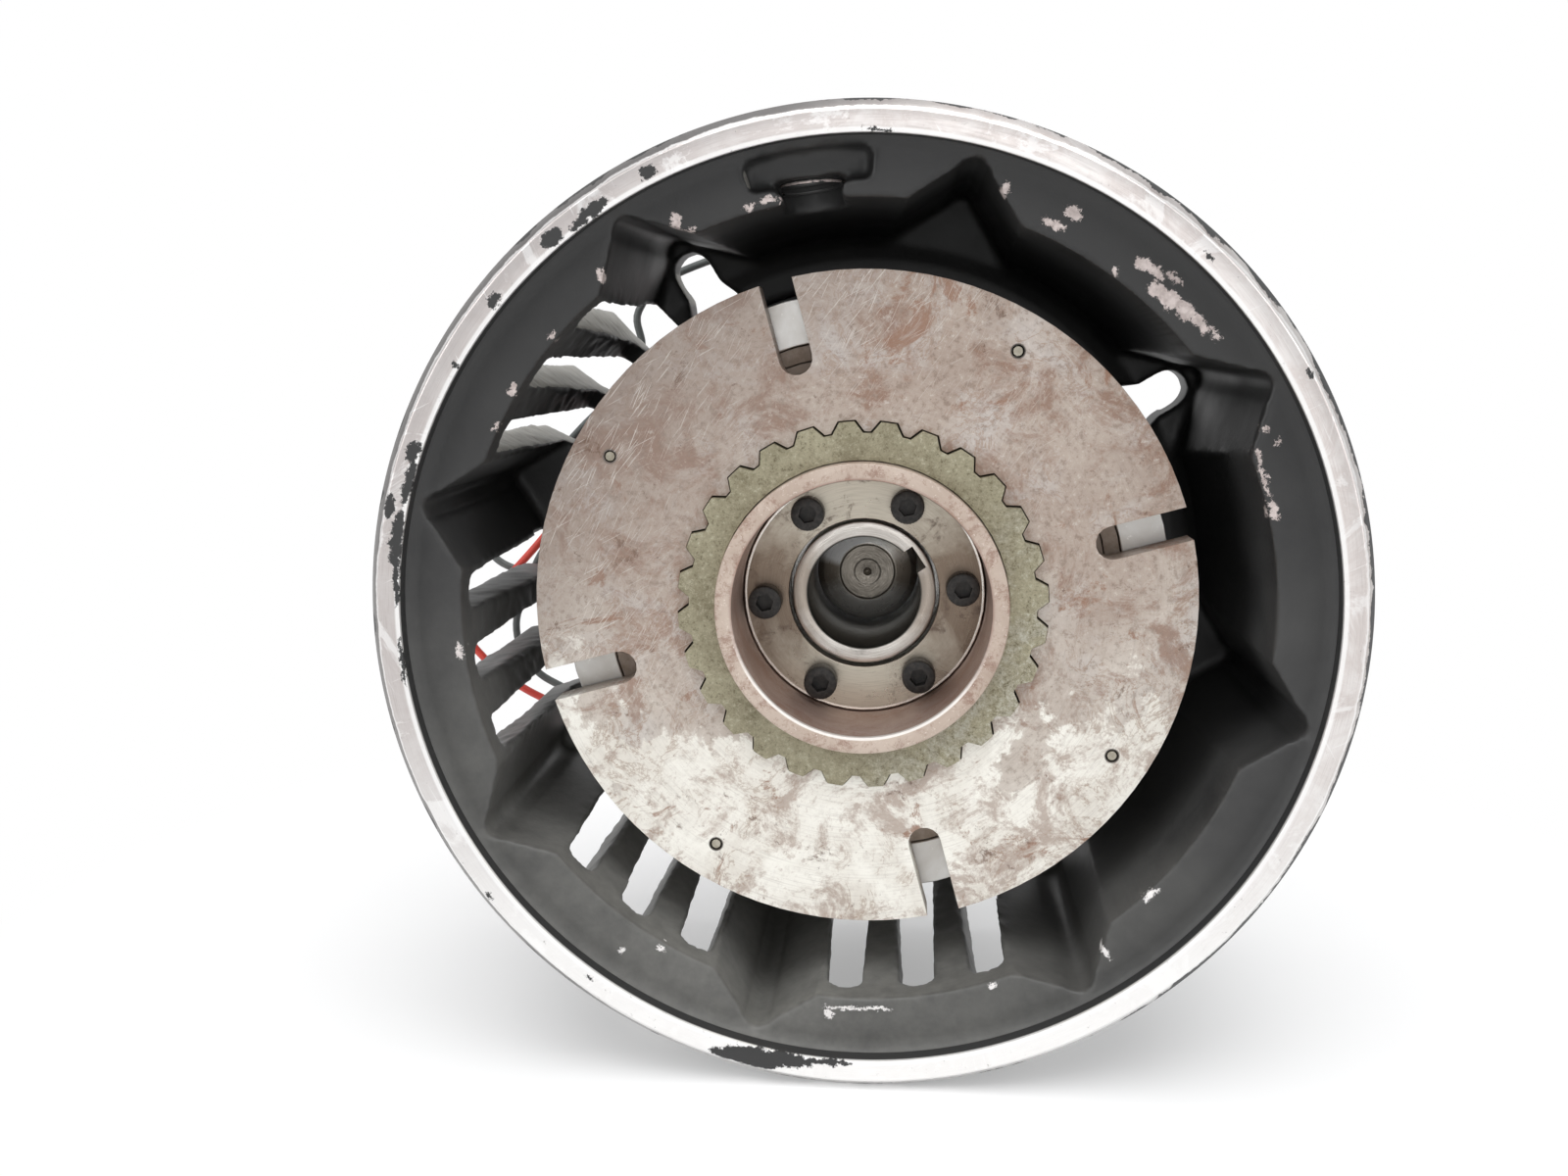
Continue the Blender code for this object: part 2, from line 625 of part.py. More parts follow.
def bolt_slots(name):
    return prisms(
        name,
        [swung(slot_outline, angle) for angle in spaced(SLOT_COUNT, POCKET_PHASE)],
        POCKET_DEPTH - BELL_CORNER,
        HOUSING_LENGTH + BELL_CORNER,
    )


cut(housing, bolt_slots("bolt_slots"))

cut(housing, radial_cylinder(
    "conduit_hole", CONDUIT_HOLE_RADIUS, BELL_FLOOR_RADIUS, RIM_RADIUS + BELL_CORNER, 16
))
bar_first = CONDUIT_ANGLE - CONDUIT_BAR_ARC / 2
bar_last = CONDUIT_ANGLE + CONDUIT_BAR_ARC / 2
bar_outline = arc(POCKET_TIP_RADIUS, bar_first, bar_last, 6)
bar_outline += arc(CONDUIT_BAR_INNER, bar_last, bar_first, 6)
cut(housing, prisms(
    "conduit_bar", [bar_outline], REGISTER_DEPTH / 2, CONDUIT_BAR_DEPTH
))
half_stem = CONDUIT_STEM_WIDTH / 2
stem_outline = [
    (BELL_FLOOR_RADIUS, -half_stem),
    (CONDUIT_BAR_INNER - CONDUIT_FILLET, -half_stem),
    (CONDUIT_BAR_INNER + CONDUIT_FILLET / 2, -half_stem - CONDUIT_FILLET),
    (CONDUIT_BAR_INNER + CONDUIT_FILLET / 2, half_stem + CONDUIT_FILLET),
    (CONDUIT_BAR_INNER - CONDUIT_FILLET, half_stem),
    (BELL_FLOOR_RADIUS, half_stem),
]
cut(housing, prisms(
    "conduit_stem", [swung(stem_outline, CONDUIT_ANGLE)], REGISTER_DEPTH / 2, CONDUIT_DEPTH + EDGE
))

finish(housing, clutch_axis, CAST_BLACK, 0.5, 0.3)

# Rear wall: a plate let into the bell, with the bearing boss in its middle
rear_wall = turned("rear_wall", [
    (0.0, BEARING_BOSS_DEPTH),
    (BEARING_BOSS_RADIUS - EDGE, BEARING_BOSS_DEPTH),
    (BEARING_BOSS_RADIUS, BEARING_BOSS_DEPTH + EDGE),
    (BEARING_BOSS_RADIUS, REAR_WALL_DEPTH),
    (REAR_PLATE_RADIUS - SEAT_GAP, REAR_WALL_DEPTH),
    (REAR_PLATE_RADIUS - SEAT_GAP, HOUSING_LENGTH),
    (0.0, HOUSING_LENGTH),
], FINE_STEPS)
cut(rear_wall, turned("bearing_seat", [
    (0.0, BEARING_BOSS_DEPTH - BEARING_LIP),
    (BEARING_LIP_RADIUS, BEARING_BOSS_DEPTH - BEARING_LIP),
    (BEARING_LIP_RADIUS, REAR_SEAT_DEPTH),
    (BEARING_SEAT_RADIUS, REAR_SEAT_DEPTH),
    (BEARING_SEAT_RADIUS, HOUSING_LENGTH + BEARING_LIP),
    (0.0, HOUSING_LENGTH + BEARING_LIP),
], MID_STEPS, HALF_STEP))
cut(rear_wall, bolt_slots("wall_slots"))
field_angles = spaced(FIELD_SCREW_COUNT, FIELD_SCREW_PHASE)
field_places = [polar(FIELD_SCREW_CIRCLE_RADIUS, angle) for angle in field_angles]
cut(rear_wall, prisms(
    "field_screw_holes",
    [circle(FIELD_SCREW_RADIUS + SEAT_GAP, 12, place) for place in field_places],
    REAR_WALL_DEPTH - BEARING_LIP,
    HOUSING_LENGTH - FIELD_SCREW_HEAD / 2,
))
cut(rear_wall, prisms(
    "field_screw_counterbores",
    [circle(FIELD_SCREW_HEAD_RADIUS + SEAT_GAP, 16, place) for place in field_places],
    FIELD_HEAD_DEPTH - FIELD_SCREW_HEAD - SEAT_GAP,
    HOUSING_LENGTH + BEARING_LIP,
))
grommet_place = polar(GROMMET_CIRCLE_RADIUS, GROMMET_ANGLE)
cut(rear_wall, prisms(
    "grommet_hole",
    [circle(GROMMET_RADIUS + SEAT_GAP, 20, grommet_place)],
    REAR_WALL_DEPTH - BEARING_LIP,
    HOUSING_LENGTH + BEARING_LIP,
))
finish(rear_wall, clutch_axis, CAST_BLACK, 0.5, 0.3)

# Field magnet: a steel channel with the potted coil in it, held by screws from behind
field_shell = turned("field_shell", [
    (FIELD_OUTER_RADIUS, FIELD_FRONT_DEPTH),
    (FIELD_OUTER_RADIUS, FIELD_REAR_DEPTH),
    (FIELD_INNER_RADIUS, FIELD_REAR_DEPTH),
    (FIELD_INNER_RADIUS, FIELD_FRONT_DEPTH),
    (FIELD_INNER_RADIUS + FIELD_WALL, FIELD_FRONT_DEPTH),
    (FIELD_INNER_RADIUS + FIELD_WALL, COIL_REAR_DEPTH),
    (FIELD_OUTER_RADIUS - FIELD_WALL, COIL_REAR_DEPTH),
    (FIELD_OUTER_RADIUS - FIELD_WALL, FIELD_FRONT_DEPTH),
], RACE_STEPS)
field_tip_depth = FIELD_HEAD_DEPTH - FIELD_SCREW_HEAD - FIELD_SCREW_LENGTH
cut(field_shell, prisms(
    "field_tapped_holes",
    [circle(FIELD_SCREW_RADIUS + SEAT_GAP, 12, place) for place in field_places],
    field_tip_depth - SEAT_GAP * 2,
    FIELD_REAR_DEPTH + BEARING_LIP,
))
finish(field_shell, clutch_axis, DARK_STEEL, 0.5, 0.9)
field_coil = turned("field_coil", [
    (FIELD_OUTER_RADIUS - FIELD_WALL - SEAT_GAP, FIELD_FRONT_DEPTH + COIL_FRONT_RECESS),
    (FIELD_OUTER_RADIUS - FIELD_WALL - SEAT_GAP, COIL_REAR_DEPTH - SEAT_GAP),
    (FIELD_INNER_RADIUS + FIELD_WALL + SEAT_GAP, COIL_REAR_DEPTH - SEAT_GAP),
    (FIELD_INNER_RADIUS + FIELD_WALL + SEAT_GAP, FIELD_FRONT_DEPTH + COIL_FRONT_RECESS),
], RACE_STEPS)
finish(field_coil, clutch_axis, (0.05, 0.03, 0.02), 0.6, 0.0)


def socket_screw(name, place, head_top, rearward, radii, lengths, socket):
    """A socket head cap screw whose head faces the front, or the rear."""
    shank_radius, head_radius = radii
    head, shank = lengths
    socket_radius, socket_depth = socket
    face = 1.0 if rearward else -1.0
    chamfer = SCREW_CHAMFER
    profile = [
        (0.0, head_top),
        (head_radius - chamfer, head_top),
        (head_radius, head_top + chamfer * -face),
        (head_radius, head_top - head * face),
        (shank_radius, head_top - head * face),
        (shank_radius, head_top - (head + shank - chamfer) * face),
        (shank_radius - chamfer, head_top - (head + shank) * face),
        (0.0, head_top - (head + shank) * face),
    ]
    if rearward:
        profile.reverse()
    screw = turned(name, profile, SMALL_STEPS)
    screw.location = (place[0], place[1], 0.0)
    depths = sorted((head_top + chamfer * face, head_top - socket_depth * face))
    key = prisms(name + "_socket", [circle(socket_radius, 6, place)], *depths)
    cut(screw, key)
    return screw


for number, place in enumerate(field_places, 1):
    finish(socket_screw(
        f"field_screw_{number}",
        place,
        FIELD_HEAD_DEPTH,
        True,
        (FIELD_SCREW_RADIUS, FIELD_SCREW_HEAD_RADIUS),
        (FIELD_SCREW_HEAD, FIELD_SCREW_LENGTH),
        (FIELD_SCREW_SOCKET, FIELD_SCREW_HEAD / 2),
    ), clutch_axis, BLACK_OXIDE, 0.45, 0.8)


def race(name, outer, inner, depth, parent):
    finish(turned(name, [
        (outer, depth),
        (outer, depth + BEARING_WIDTH),
        (inner, depth + BEARING_WIDTH),
        (inner, depth),
    ], RACE_STEPS), parent, RACE_STEEL, 0.25, 1.0)


def ball_ring(name, depth, parent):
    """The balls of one bearing, held in their cage ring."""
    middle = depth + BEARING_WIDTH / 2
    outer = BALL_CIRCLE_RADIUS + CAGE_WALL / 2
    inner = BALL_CIRCLE_RADIUS - CAGE_WALL / 2
    cage = turned(name, [
        (outer, middle - CAGE_WIDTH / 2),
        (outer, middle + CAGE_WIDTH / 2),
        (inner, middle + CAGE_WIDTH / 2),
        (inner, middle - CAGE_WIDTH / 2),
    ], RACE_STEPS)
    shape = bmesh.new()
    for angle in spaced(BALL_COUNT, 3.0):
        made = bmesh.ops.create_uvsphere(
            shape, u_segments=8, v_segments=4, radius=BALL_RADIUS
        )
        x, y = polar(BALL_CIRCLE_RADIUS, angle)
        bmesh.ops.translate(shape, verts=made["verts"], vec=(x, y, height(middle)))
    mesh = bpy.data.meshes.new(name + "_set")
    shape.to_mesh(mesh)
    shape.free()
    join(cage, bpy.data.objects.new(name + "_set", mesh))
    finish(cage, parent, RACE_STEEL, 0.2, 1.0)


def snap_ring(name, outer, inner, front, parent):
    """A sprung ring with an opening at its foot."""
    half = SNAP_RING_OPENING / 2
    outline = arc(outer, half - 90.0, 270.0 - half, 22)
    outline += arc(inner, 270.0 - half, half - 90.0, 22)
    finish(plate(name, [outline], front, front + SNAP_RING), parent, DARK_STEEL, 0.4, 0.9)


race("rear_bearing_outer", BEARING_OUTER_RADIUS, OUTER_RACE_RADIUS,
     REAR_BEARING_DEPTH, clutch_axis)
race("rear_bearing_inner", INNER_RACE_RADIUS, BEARING_INNER_RADIUS,
     REAR_BEARING_DEPTH, rotor_axis)
ball_ring("rear_bearing_balls", REAR_BEARING_DEPTH, rotor_axis)
snap_ring("rear_snap_ring", BEARING_OUTER_RADIUS, BEARING_OUTER_RADIUS - SNAP_RING_WIDTH,
          REAR_RING_DEPTH, clutch_axis)
snap_ring("sleeve_snap_ring", BEARING_INNER_RADIUS + SNAP_RING_WIDTH, BEARING_INNER_RADIUS,
          REAR_RING_DEPTH, rotor_axis)

# Drive sleeve with its keyway, and the shaft keyed into it from behind
drive_sleeve = turned("drive_sleeve", [
    (SLEEVE_NOSE_RADIUS - EDGE, SLEEVE_FRONT_DEPTH),
    (SLEEVE_NOSE_RADIUS, SLEEVE_FRONT_DEPTH + EDGE),
    (SLEEVE_NOSE_RADIUS, SLEEVE_NOSE_DEPTH),
    (SLEEVE_SEAT_RADIUS, SLEEVE_NOSE_DEPTH),
    (SLEEVE_SEAT_RADIUS, SLEEVE_REAR_DEPTH - EDGE),
    (SLEEVE_SEAT_RADIUS - EDGE, SLEEVE_REAR_DEPTH),
    (SLEEVE_BORE_RADIUS, SLEEVE_REAR_DEPTH),
    (SLEEVE_BORE_RADIUS, SLEEVE_FRONT_DEPTH),
], MID_STEPS)


def key_block(name, inner, outer, width, front, rear):
    outline = [(inner, -width / 2), (outer, -width / 2), (outer, width / 2), (inner, width / 2)]
    return prisms(name, [swung(outline, KEY_ANGLE)], front, rear)


cut(drive_sleeve, key_block(
    "sleeve_keyway", 0.0, KEYWAY_TOP_RADIUS, KEY_WIDTH,
    SLEEVE_FRONT_DEPTH - SHAFT_CHAMFER, SLEEVE_REAR_DEPTH + SHAFT_CHAMFER,
))
finish(drive_sleeve, rotor_axis, STEEL, 0.35, 1.0)

drive_shaft = turned("drive_shaft", [
    (0.0, SHAFT_END_DEPTH + SHAFT_CENTRE_DEPTH),
    (SHAFT_CENTRE_RADIUS, SHAFT_END_DEPTH),
    (SHAFT_RADIUS - SHAFT_CHAMFER, SHAFT_END_DEPTH),
    (SHAFT_RADIUS, SHAFT_END_DEPTH + SHAFT_CHAMFER),
    (SHAFT_RADIUS, STUB_END_DEPTH - SHAFT_CHAMFER),
    (SHAFT_RADIUS - SHAFT_CHAMFER, STUB_END_DEPTH),
    (SHAFT_CENTRE_RADIUS, STUB_END_DEPTH),
    (0.0, STUB_END_DEPTH - SHAFT_CENTRE_DEPTH),
], RACE_STEPS)
key_slack = SEAT_GAP * 2
sleeve_key_rear = SLEEVE_REAR_DEPTH - SHAFT_CHAMFER
sleeve_key_front = sleeve_key_rear - SLEEVE_KEY_LENGTH
stub_key_rear = STUB_END_DEPTH - SHAFT_KEY_BACK
stub_key_front = stub_key_rear - SHAFT_KEY_LENGTH
cut(drive_shaft, key_block(
    "sleeve_key_seat", KEY_FLOOR_RADIUS - SEAT_GAP, SLEEVE_NOSE_RADIUS, KEY_WIDTH,
    sleeve_key_front - SEAT_GAP, sleeve_key_rear + SEAT_GAP,
))
cut(drive_shaft, key_block(
    "shaft_key_seat", KEY_FLOOR_RADIUS - SEAT_GAP, SLEEVE_NOSE_RADIUS, KEY_WIDTH,
    stub_key_front - SEAT_GAP, stub_key_rear + SEAT_GAP,
))
finish(drive_shaft, rotor_axis, STEEL, 0.35, 1.0)
finish(key_block(
    "sleeve_key", KEY_FLOOR_RADIUS, KEYWAY_TOP_RADIUS - SEAT_GAP, KEY_WIDTH - key_slack,
    sleeve_key_front, sleeve_key_rear,
), rotor_axis, STEEL, 0.4, 1.0)
finish(key_block(
    "shaft_key", KEY_FLOOR_RADIUS, SHAFT_RADIUS + SHAFT_KEY_HEIGHT, KEY_WIDTH - key_slack,
    stub_key_front, stub_key_rear,
), rotor_axis, STEEL, 0.4, 1.0)

# Rotor: two poles round the field, with the friction facing let into its face
groove_depth = ROTOR_FACE_DEPTH + FACING_SUNK + FACING_THICKNESS + SEAT_GAP
rotor = turned("rotor", [
    (ROTOR_RADIUS, ROTOR_FACE_DEPTH),
    (ROTOR_RADIUS, ROTOR_FACE_DEPTH + ROTOR_RIM_LENGTH),
    (ROTOR_RIM_INNER_RADIUS, ROTOR_FACE_DEPTH + ROTOR_RIM_LENGTH),
    (ROTOR_RIM_INNER_RADIUS, ROTOR_POCKET_DEPTH),
    (INNER_POLE_RADIUS, ROTOR_POCKET_DEPTH),
    (INNER_POLE_RADIUS, ROTOR_WEB_REAR_DEPTH),
    (BEARING_INNER_RADIUS, ROTOR_WEB_REAR_DEPTH),
    (BEARING_INNER_RADIUS, ROTOR_WEB_DEPTH),
    (ROTOR_BORE_RADIUS, ROTOR_WEB_DEPTH),
    (ROTOR_BORE_RADIUS, ROTOR_FACE_DEPTH),
    (FACING_INNER_RADIUS - SEAT_GAP, ROTOR_FACE_DEPTH),
    (FACING_INNER_RADIUS - SEAT_GAP, groove_depth),
    (FACING_OUTER_RADIUS + SEAT_GAP, groove_depth),
    (FACING_OUTER_RADIUS + SEAT_GAP, ROTOR_FACE_DEPTH),
], MID_STEPS)
finish(rotor, rotor_axis, STEEL, 0.4, 1.0)
finish(turned("friction_facing", [
    (FACING_OUTER_RADIUS, ROTOR_FACE_DEPTH + FACING_SUNK),
    (FACING_OUTER_RADIUS, ROTOR_FACE_DEPTH + FACING_SUNK + FACING_THICKNESS),
    (FACING_INNER_RADIUS, ROTOR_FACE_DEPTH + FACING_SUNK + FACING_THICKNESS),
    (FACING_INNER_RADIUS, ROTOR_FACE_DEPTH + FACING_SUNK),
], MID_STEPS), rotor_axis, (0.03, 0.025, 0.02), 0.9, 0.0)

# Output hub: toothed ring on its carrier, which turns on the sleeve in a ball bearing
race("hub_bearing_outer", BEARING_OUTER_RADIUS, OUTER_RACE_RADIUS,
     HUB_BEARING_DEPTH, hub_axis)
race("hub_bearing_inner", INNER_RACE_RADIUS, BEARING_INNER_RADIUS,
     HUB_BEARING_DEPTH, rotor_axis)
ball_ring("hub_bearing_balls", HUB_BEARING_DEPTH, hub_axis)
snap_ring("hub_snap_ring", BEARING_OUTER_RADIUS, BEARING_OUTER_RADIUS - SNAP_RING_WIDTH,
          HUB_RING_DEPTH, hub_axis)


def toothed(tip_radius, root_radius, tip_width, foot_width):
    """Outline of straight-sided teeth that point outwards."""
    tip = math.degrees(tip_width / 2 / tip_radius)
    foot = math.degrees(foot_width / 2 / root_radius)
    pitch = 360.0 / TOOTH_COUNT
    points = []
    for angle in spaced(TOOTH_COUNT, TOOTH_PHASE):
        points.append(polar(root_radius, angle - foot))
        points.append(polar(tip_radius, angle - tip))
        points.append(polar(tip_radius, angle + tip))
        points.append(polar(root_radius, angle + foot))
        points.append(polar(root_radius, angle + pitch / 2))
    return points


hub_teeth = toothed(TOOTH_TIP_RADIUS, TOOTH_ROOT_RADIUS, TOOTH_TIP_WIDTH, TOOTH_FOOT_WIDTH)
finish(plate(
    "splined_hub", [hub_teeth, circle(HUB_BORE_RADIUS, MID_STEPS)],
    HUB_FACE_DEPTH, HUB_REAR_DEPTH,
), hub_axis, OLIVE, 0.6, 0.7)

hub_carrier = turned("hub_carrier", [
    (CARRIER_RADIUS - EDGE, CARRIER_FRONT_DEPTH),
    (CARRIER_RADIUS, CARRIER_FRONT_DEPTH + EDGE),
    (CARRIER_RADIUS, CARRIER_REAR_DEPTH),
    (BEARING_SEAT_RADIUS, CARRIER_REAR_DEPTH),
    (BEARING_SEAT_RADIUS, HUB_SEAT_DEPTH),
    (CARRIER_WEB_RADIUS, HUB_SEAT_DEPTH),
    (CARRIER_WEB_RADIUS, CARRIER_WEB_DEPTH),
    (CARRIER_BORE_RADIUS, CARRIER_WEB_DEPTH),
    (CARRIER_BORE_RADIUS, CARRIER_FRONT_DEPTH + EDGE),
    (CARRIER_BORE_RADIUS + EDGE, CARRIER_FRONT_DEPTH),
], MID_STEPS)
cap_places = [polar(CAP_SCREW_CIRCLE_RADIUS, angle) for angle in spaced(CAP_SCREW_COUNT, CAP_SCREW_PHASE)]
cut(hub_carrier, prisms(
    "cap_tapped_holes",
    [circle(CAP_SCREW_RADIUS + SEAT_GAP, 12, place) for place in cap_places],
    COVER_FACE_DEPTH,
    HUB_SEAT_DEPTH + EDGE,
))
finish(hub_carrier, hub_axis, STEEL, 0.4, 0.9)
finish(plate(
    "bearing_cover",
    [circle(COVER_RADIUS, MID_STEPS), circle(COVER_BORE_RADIUS, MID_STEPS)]
    + [circle(CAP_SCREW_RADIUS + SEAT_GAP, 12, place) for place in cap_places],
    COVER_FACE_DEPTH, COVER_REAR_DEPTH,
), hub_axis, DARK_STEEL, 0.45, 0.9)
for number, place in enumerate(cap_places, 1):
    finish(socket_screw(
        f"cap_screw_{number}",
        place,
        CAP_HEAD_DEPTH - CAP_SCREW_HEAD,
        False,
        (CAP_SCREW_RADIUS, CAP_SCREW_HEAD_RADIUS),
        (CAP_SCREW_HEAD, CAP_SCREW_LENGTH),
        (CAP_SCREW_SOCKET, CAP_SCREW_SOCKET_DEPTH),
    ), hub_axis, BLACK_OXIDE, 0.45, 0.8)

# Armature: a slotted disc that slides on the hub teeth
disc_outline = []
slot_angles = spaced(ARMATURE_SLOT_COUNT, ARMATURE_SLOT_PHASE)
half_open = math.degrees(math.asin(ARMATURE_SLOT_WIDTH / 2 / ARMATURE_RADIUS))
slot_end_centre = ARMATURE_SLOT_END + ARMATURE_SLOT_WIDTH / 2
for angle in slot_angles:
    end = arc(ARMATURE_SLOT_WIDTH / 2, 270.0, 90.0, 8, (slot_end_centre, 0.0))
    disc_outline += swung(end, angle)
    following = angle + 360.0 / ARMATURE_SLOT_COUNT
    disc_outline += arc(ARMATURE_RADIUS, angle + half_open, following - half_open, 22)
inner_outline = toothed(
    TOOTH_TIP_RADIUS + SEAT_GAP,
    TOOTH_ROOT_RADIUS + SEAT_GAP,
    TOOTH_TIP_WIDTH + 2 * SPLINE_GAP,
    TOOTH_FOOT_WIDTH + 2 * SPLINE_GAP,
)
pin_places = [polar(PIN_CIRCLE_RADIUS, angle) for angle in spaced(PIN_COUNT, PIN_PHASE)]
finish(plate(
    "armature_disc",
    [disc_outline, inner_outline]
    + [circle(PIN_RADIUS + SEAT_GAP, 10, place) for place in pin_places],
    ARMATURE_FACE_DEPTH, ARMATURE_REAR_DEPTH,
), armature_axis, STEEL, 0.45, 0.9)
for number, place in enumerate(pin_places, 1):
    finish(prisms(
        f"armature_pin_{number}", [circle(PIN_RADIUS, 10, place)],
        ARMATURE_FACE_DEPTH, ARMATURE_REAR_DEPTH,
    ), armature_axis, RACE_STEEL, 0.3, 1.0)

# Field leads, led out through a rubber grommet in the rear wall
grommet = turned("lead_grommet", [
    (GROMMET_RADIUS, REAR_WALL_DEPTH + EDGE),
    (GROMMET_RADIUS, HOUSING_LENGTH + SEAT_GAP),
    (GROMMET_LIP_RADIUS, HOUSING_LENGTH + SEAT_GAP),
    (GROMMET_LIP_RADIUS, HOUSING_LENGTH + SEAT_GAP + GROMMET_LIP),
    (GROMMET_BORE_RADIUS, HOUSING_LENGTH + SEAT_GAP + GROMMET_LIP),
    (GROMMET_BORE_RADIUS, REAR_WALL_DEPTH + EDGE),
], 20)
grommet.location = (grommet_place[0], grommet_place[1], 0.0)
finish(grommet, clutch_axis, (0.02, 0.02, 0.02), 0.8, 0.0)


def lead(name, side, path, colour):
    """A round wire from inside the grommet along its path."""
    x, y = grommet_place
    points = [
        (x + side * LEAD_OFFSET, y, LEAD_START_DEPTH),
        (x + side * LEAD_OFFSET, y, HOUSING_LENGTH),
        (x + side * LEAD_OFFSET, y, HOUSING_LENGTH + GROMMET_LIP * 2),
    ]
    points += path
    curve = bpy.data.curves.new(name, "CURVE")
    curve.dimensions = "3D"
    curve.bevel_depth = LEAD_RADIUS
    curve.bevel_resolution = 1
    curve.resolution_u = 3
    curve.use_fill_caps = True
    spline = curve.splines.new("BEZIER")
    spline.bezier_points.add(len(points) - 1)
    for bezier, (px, py, depth) in zip(spline.bezier_points, points):
        bezier.co = (px, py, height(depth))
        bezier.handle_left_type = "AUTO"
        bezier.handle_right_type = "AUTO"
    finish(bpy.data.objects.new(name, curve), clutch_axis, colour, 0.45, 0.0)


lead("red_lead", -1.0, list(RED_LEAD_PATH), (0.55, 0.045, 0.03))
lead("grey_lead", 1.0, list(GREY_LEAD_PATH), (0.14, 0.15, 0.145))
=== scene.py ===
import math

import bmesh
import bpy
import numpy as np
from mathutils import Matrix, Vector, noise


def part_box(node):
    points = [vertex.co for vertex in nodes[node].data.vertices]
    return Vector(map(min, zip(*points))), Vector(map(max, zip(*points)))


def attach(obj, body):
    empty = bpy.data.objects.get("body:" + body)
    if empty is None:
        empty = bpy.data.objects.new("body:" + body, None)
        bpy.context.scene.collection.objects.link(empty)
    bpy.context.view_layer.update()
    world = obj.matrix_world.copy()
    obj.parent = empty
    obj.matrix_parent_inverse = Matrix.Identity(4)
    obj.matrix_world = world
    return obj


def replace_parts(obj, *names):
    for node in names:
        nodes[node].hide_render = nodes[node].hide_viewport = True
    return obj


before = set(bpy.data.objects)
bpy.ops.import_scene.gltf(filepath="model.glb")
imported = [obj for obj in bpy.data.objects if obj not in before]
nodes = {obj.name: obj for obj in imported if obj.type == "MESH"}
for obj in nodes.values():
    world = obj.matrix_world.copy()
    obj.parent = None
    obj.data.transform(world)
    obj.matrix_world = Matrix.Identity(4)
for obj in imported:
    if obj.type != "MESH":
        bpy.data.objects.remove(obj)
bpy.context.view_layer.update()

# Places, in metres: depths run rearwards (+Y) from the rim of the open front
RIM_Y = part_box("housing")[0].y
RIM_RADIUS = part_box("housing")[1].x
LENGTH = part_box("housing")[1].y - RIM_Y
FLOOR_Z = -RIM_RADIUS
RIM_FACE_RADIUS = 0.113
RIM_BEVEL = 0.0036
RIM_BAND = 0.0046
REGISTER_RADIUS = 0.10795
REGISTER_DEPTH = 0.006
BELL_FRONT_RADIUS = 0.095
BELL_REAR_RADIUS = 0.092
BELL_STRAIGHT = 0.084
WALL_RADIUS = 0.105
CAST_GRAIN = 0.0011
VENT_FRONT = 0.0125
VENT_REAR = 0.088
VENT_BAYS = (143.8, 188.8, 233.8, 278.8)
VENT_BAY_HALF = 15.0
CONDUIT_ANGLE = 97.0


def at(radius, degrees, depth):
    """A point of the row frame from its radius, its angle seen from the front and its depth."""
    turn = math.radians(degrees)
    return Vector((radius * math.cos(turn), RIM_Y + depth, radius * math.sin(turn)))


# Mesh helpers

def shaded(mesh, angle=32.0):
    mesh.shade_smooth()
    mesh.set_sharp_from_angle(angle=math.radians(angle))
    return mesh


def piece(name, shape, angle=32.0):
    """An object from a bmesh, with its faces turned outwards."""
    bmesh.ops.recalc_face_normals(shape, faces=shape.faces)
    mesh = bpy.data.meshes.new(name)
    shape.to_mesh(mesh)
    shape.free()
    obj = bpy.data.objects.new(name, shaded(mesh, angle))
    bpy.context.scene.collection.objects.link(obj)
    return obj


def lathe(shape, profile, steps, centre=(0.0, 0.0), closed=True):
    """Turns (radius, depth) points about an axis along Y."""
    rings = []
    for radius, depth in profile:
        if radius < 1e-7:
            rings.append([shape.verts.new((centre[0], RIM_Y + depth, centre[1]))])
            continue
        ring = []
        for step in range(steps):
            turn = 2 * math.pi * step / steps
            x = centre[0] + radius * math.cos(turn)
            z = centre[1] + radius * math.sin(turn)
            ring.append(shape.verts.new((x, RIM_Y + depth, z)))
        rings.append(ring)
    pairs = list(zip(rings, rings[1:]))
    if closed:
        pairs.append((rings[-1], rings[0]))
    for first, second in pairs:
        for step in range(steps):
            after = (step + 1) % steps
            corners = [first[step % len(first)], first[after % len(first)],
                       second[after % len(second)], second[step % len(second)]]
            unique = list(dict.fromkeys(corners))
            if len(unique) > 2:
                shape.faces.new(unique)


def eased(profile, width, closed=True):
    """The profile with each corner broken by a small two-step edge."""
    count = len(profile)
    points = []
    for index, (radius, depth) in enumerate(profile):
        here = Vector((radius, depth))
        if not closed and index in (0, count - 1):
            points.append((radius, depth))
            continue
        before = Vector(profile[index - 1]) - here
        after = Vector(profile[(index + 1) % count]) - here
        first = here + before.normalized() * min(width, before.length * 0.4)
        last = here + after.normalized() * min(width, after.length * 0.4)
        middle = (first + last) / 2 * 0.55 + here * 0.45
        points += [tuple(first), tuple(middle), tuple(last)]
    return points


def turned(name, profile, steps=160, ease=0.0003, closed=True):
    shape = bmesh.new()
    lathe(shape, eased(profile, ease, closed), steps, closed=closed)
    return piece(name, shape)


def baked(obj):
    """The object's modifiers made part of its mesh."""
    bpy.context.view_layer.update()
    graph = bpy.context.evaluated_depsgraph_get()
    mesh = bpy.data.meshes.new_from_object(obj.evaluated_get(graph))
    obj.modifiers.clear()
    obj.data = mesh
    return obj


def cut(obj, cutter, operation="DIFFERENCE"):
    modifier = obj.modifiers.new("Cut", "BOOLEAN")
    modifier.operation = operation
    modifier.solver = "EXACT"
    modifier.object = cutter
    baked(obj)
    bpy.data.objects.remove(cutter)
    return obj


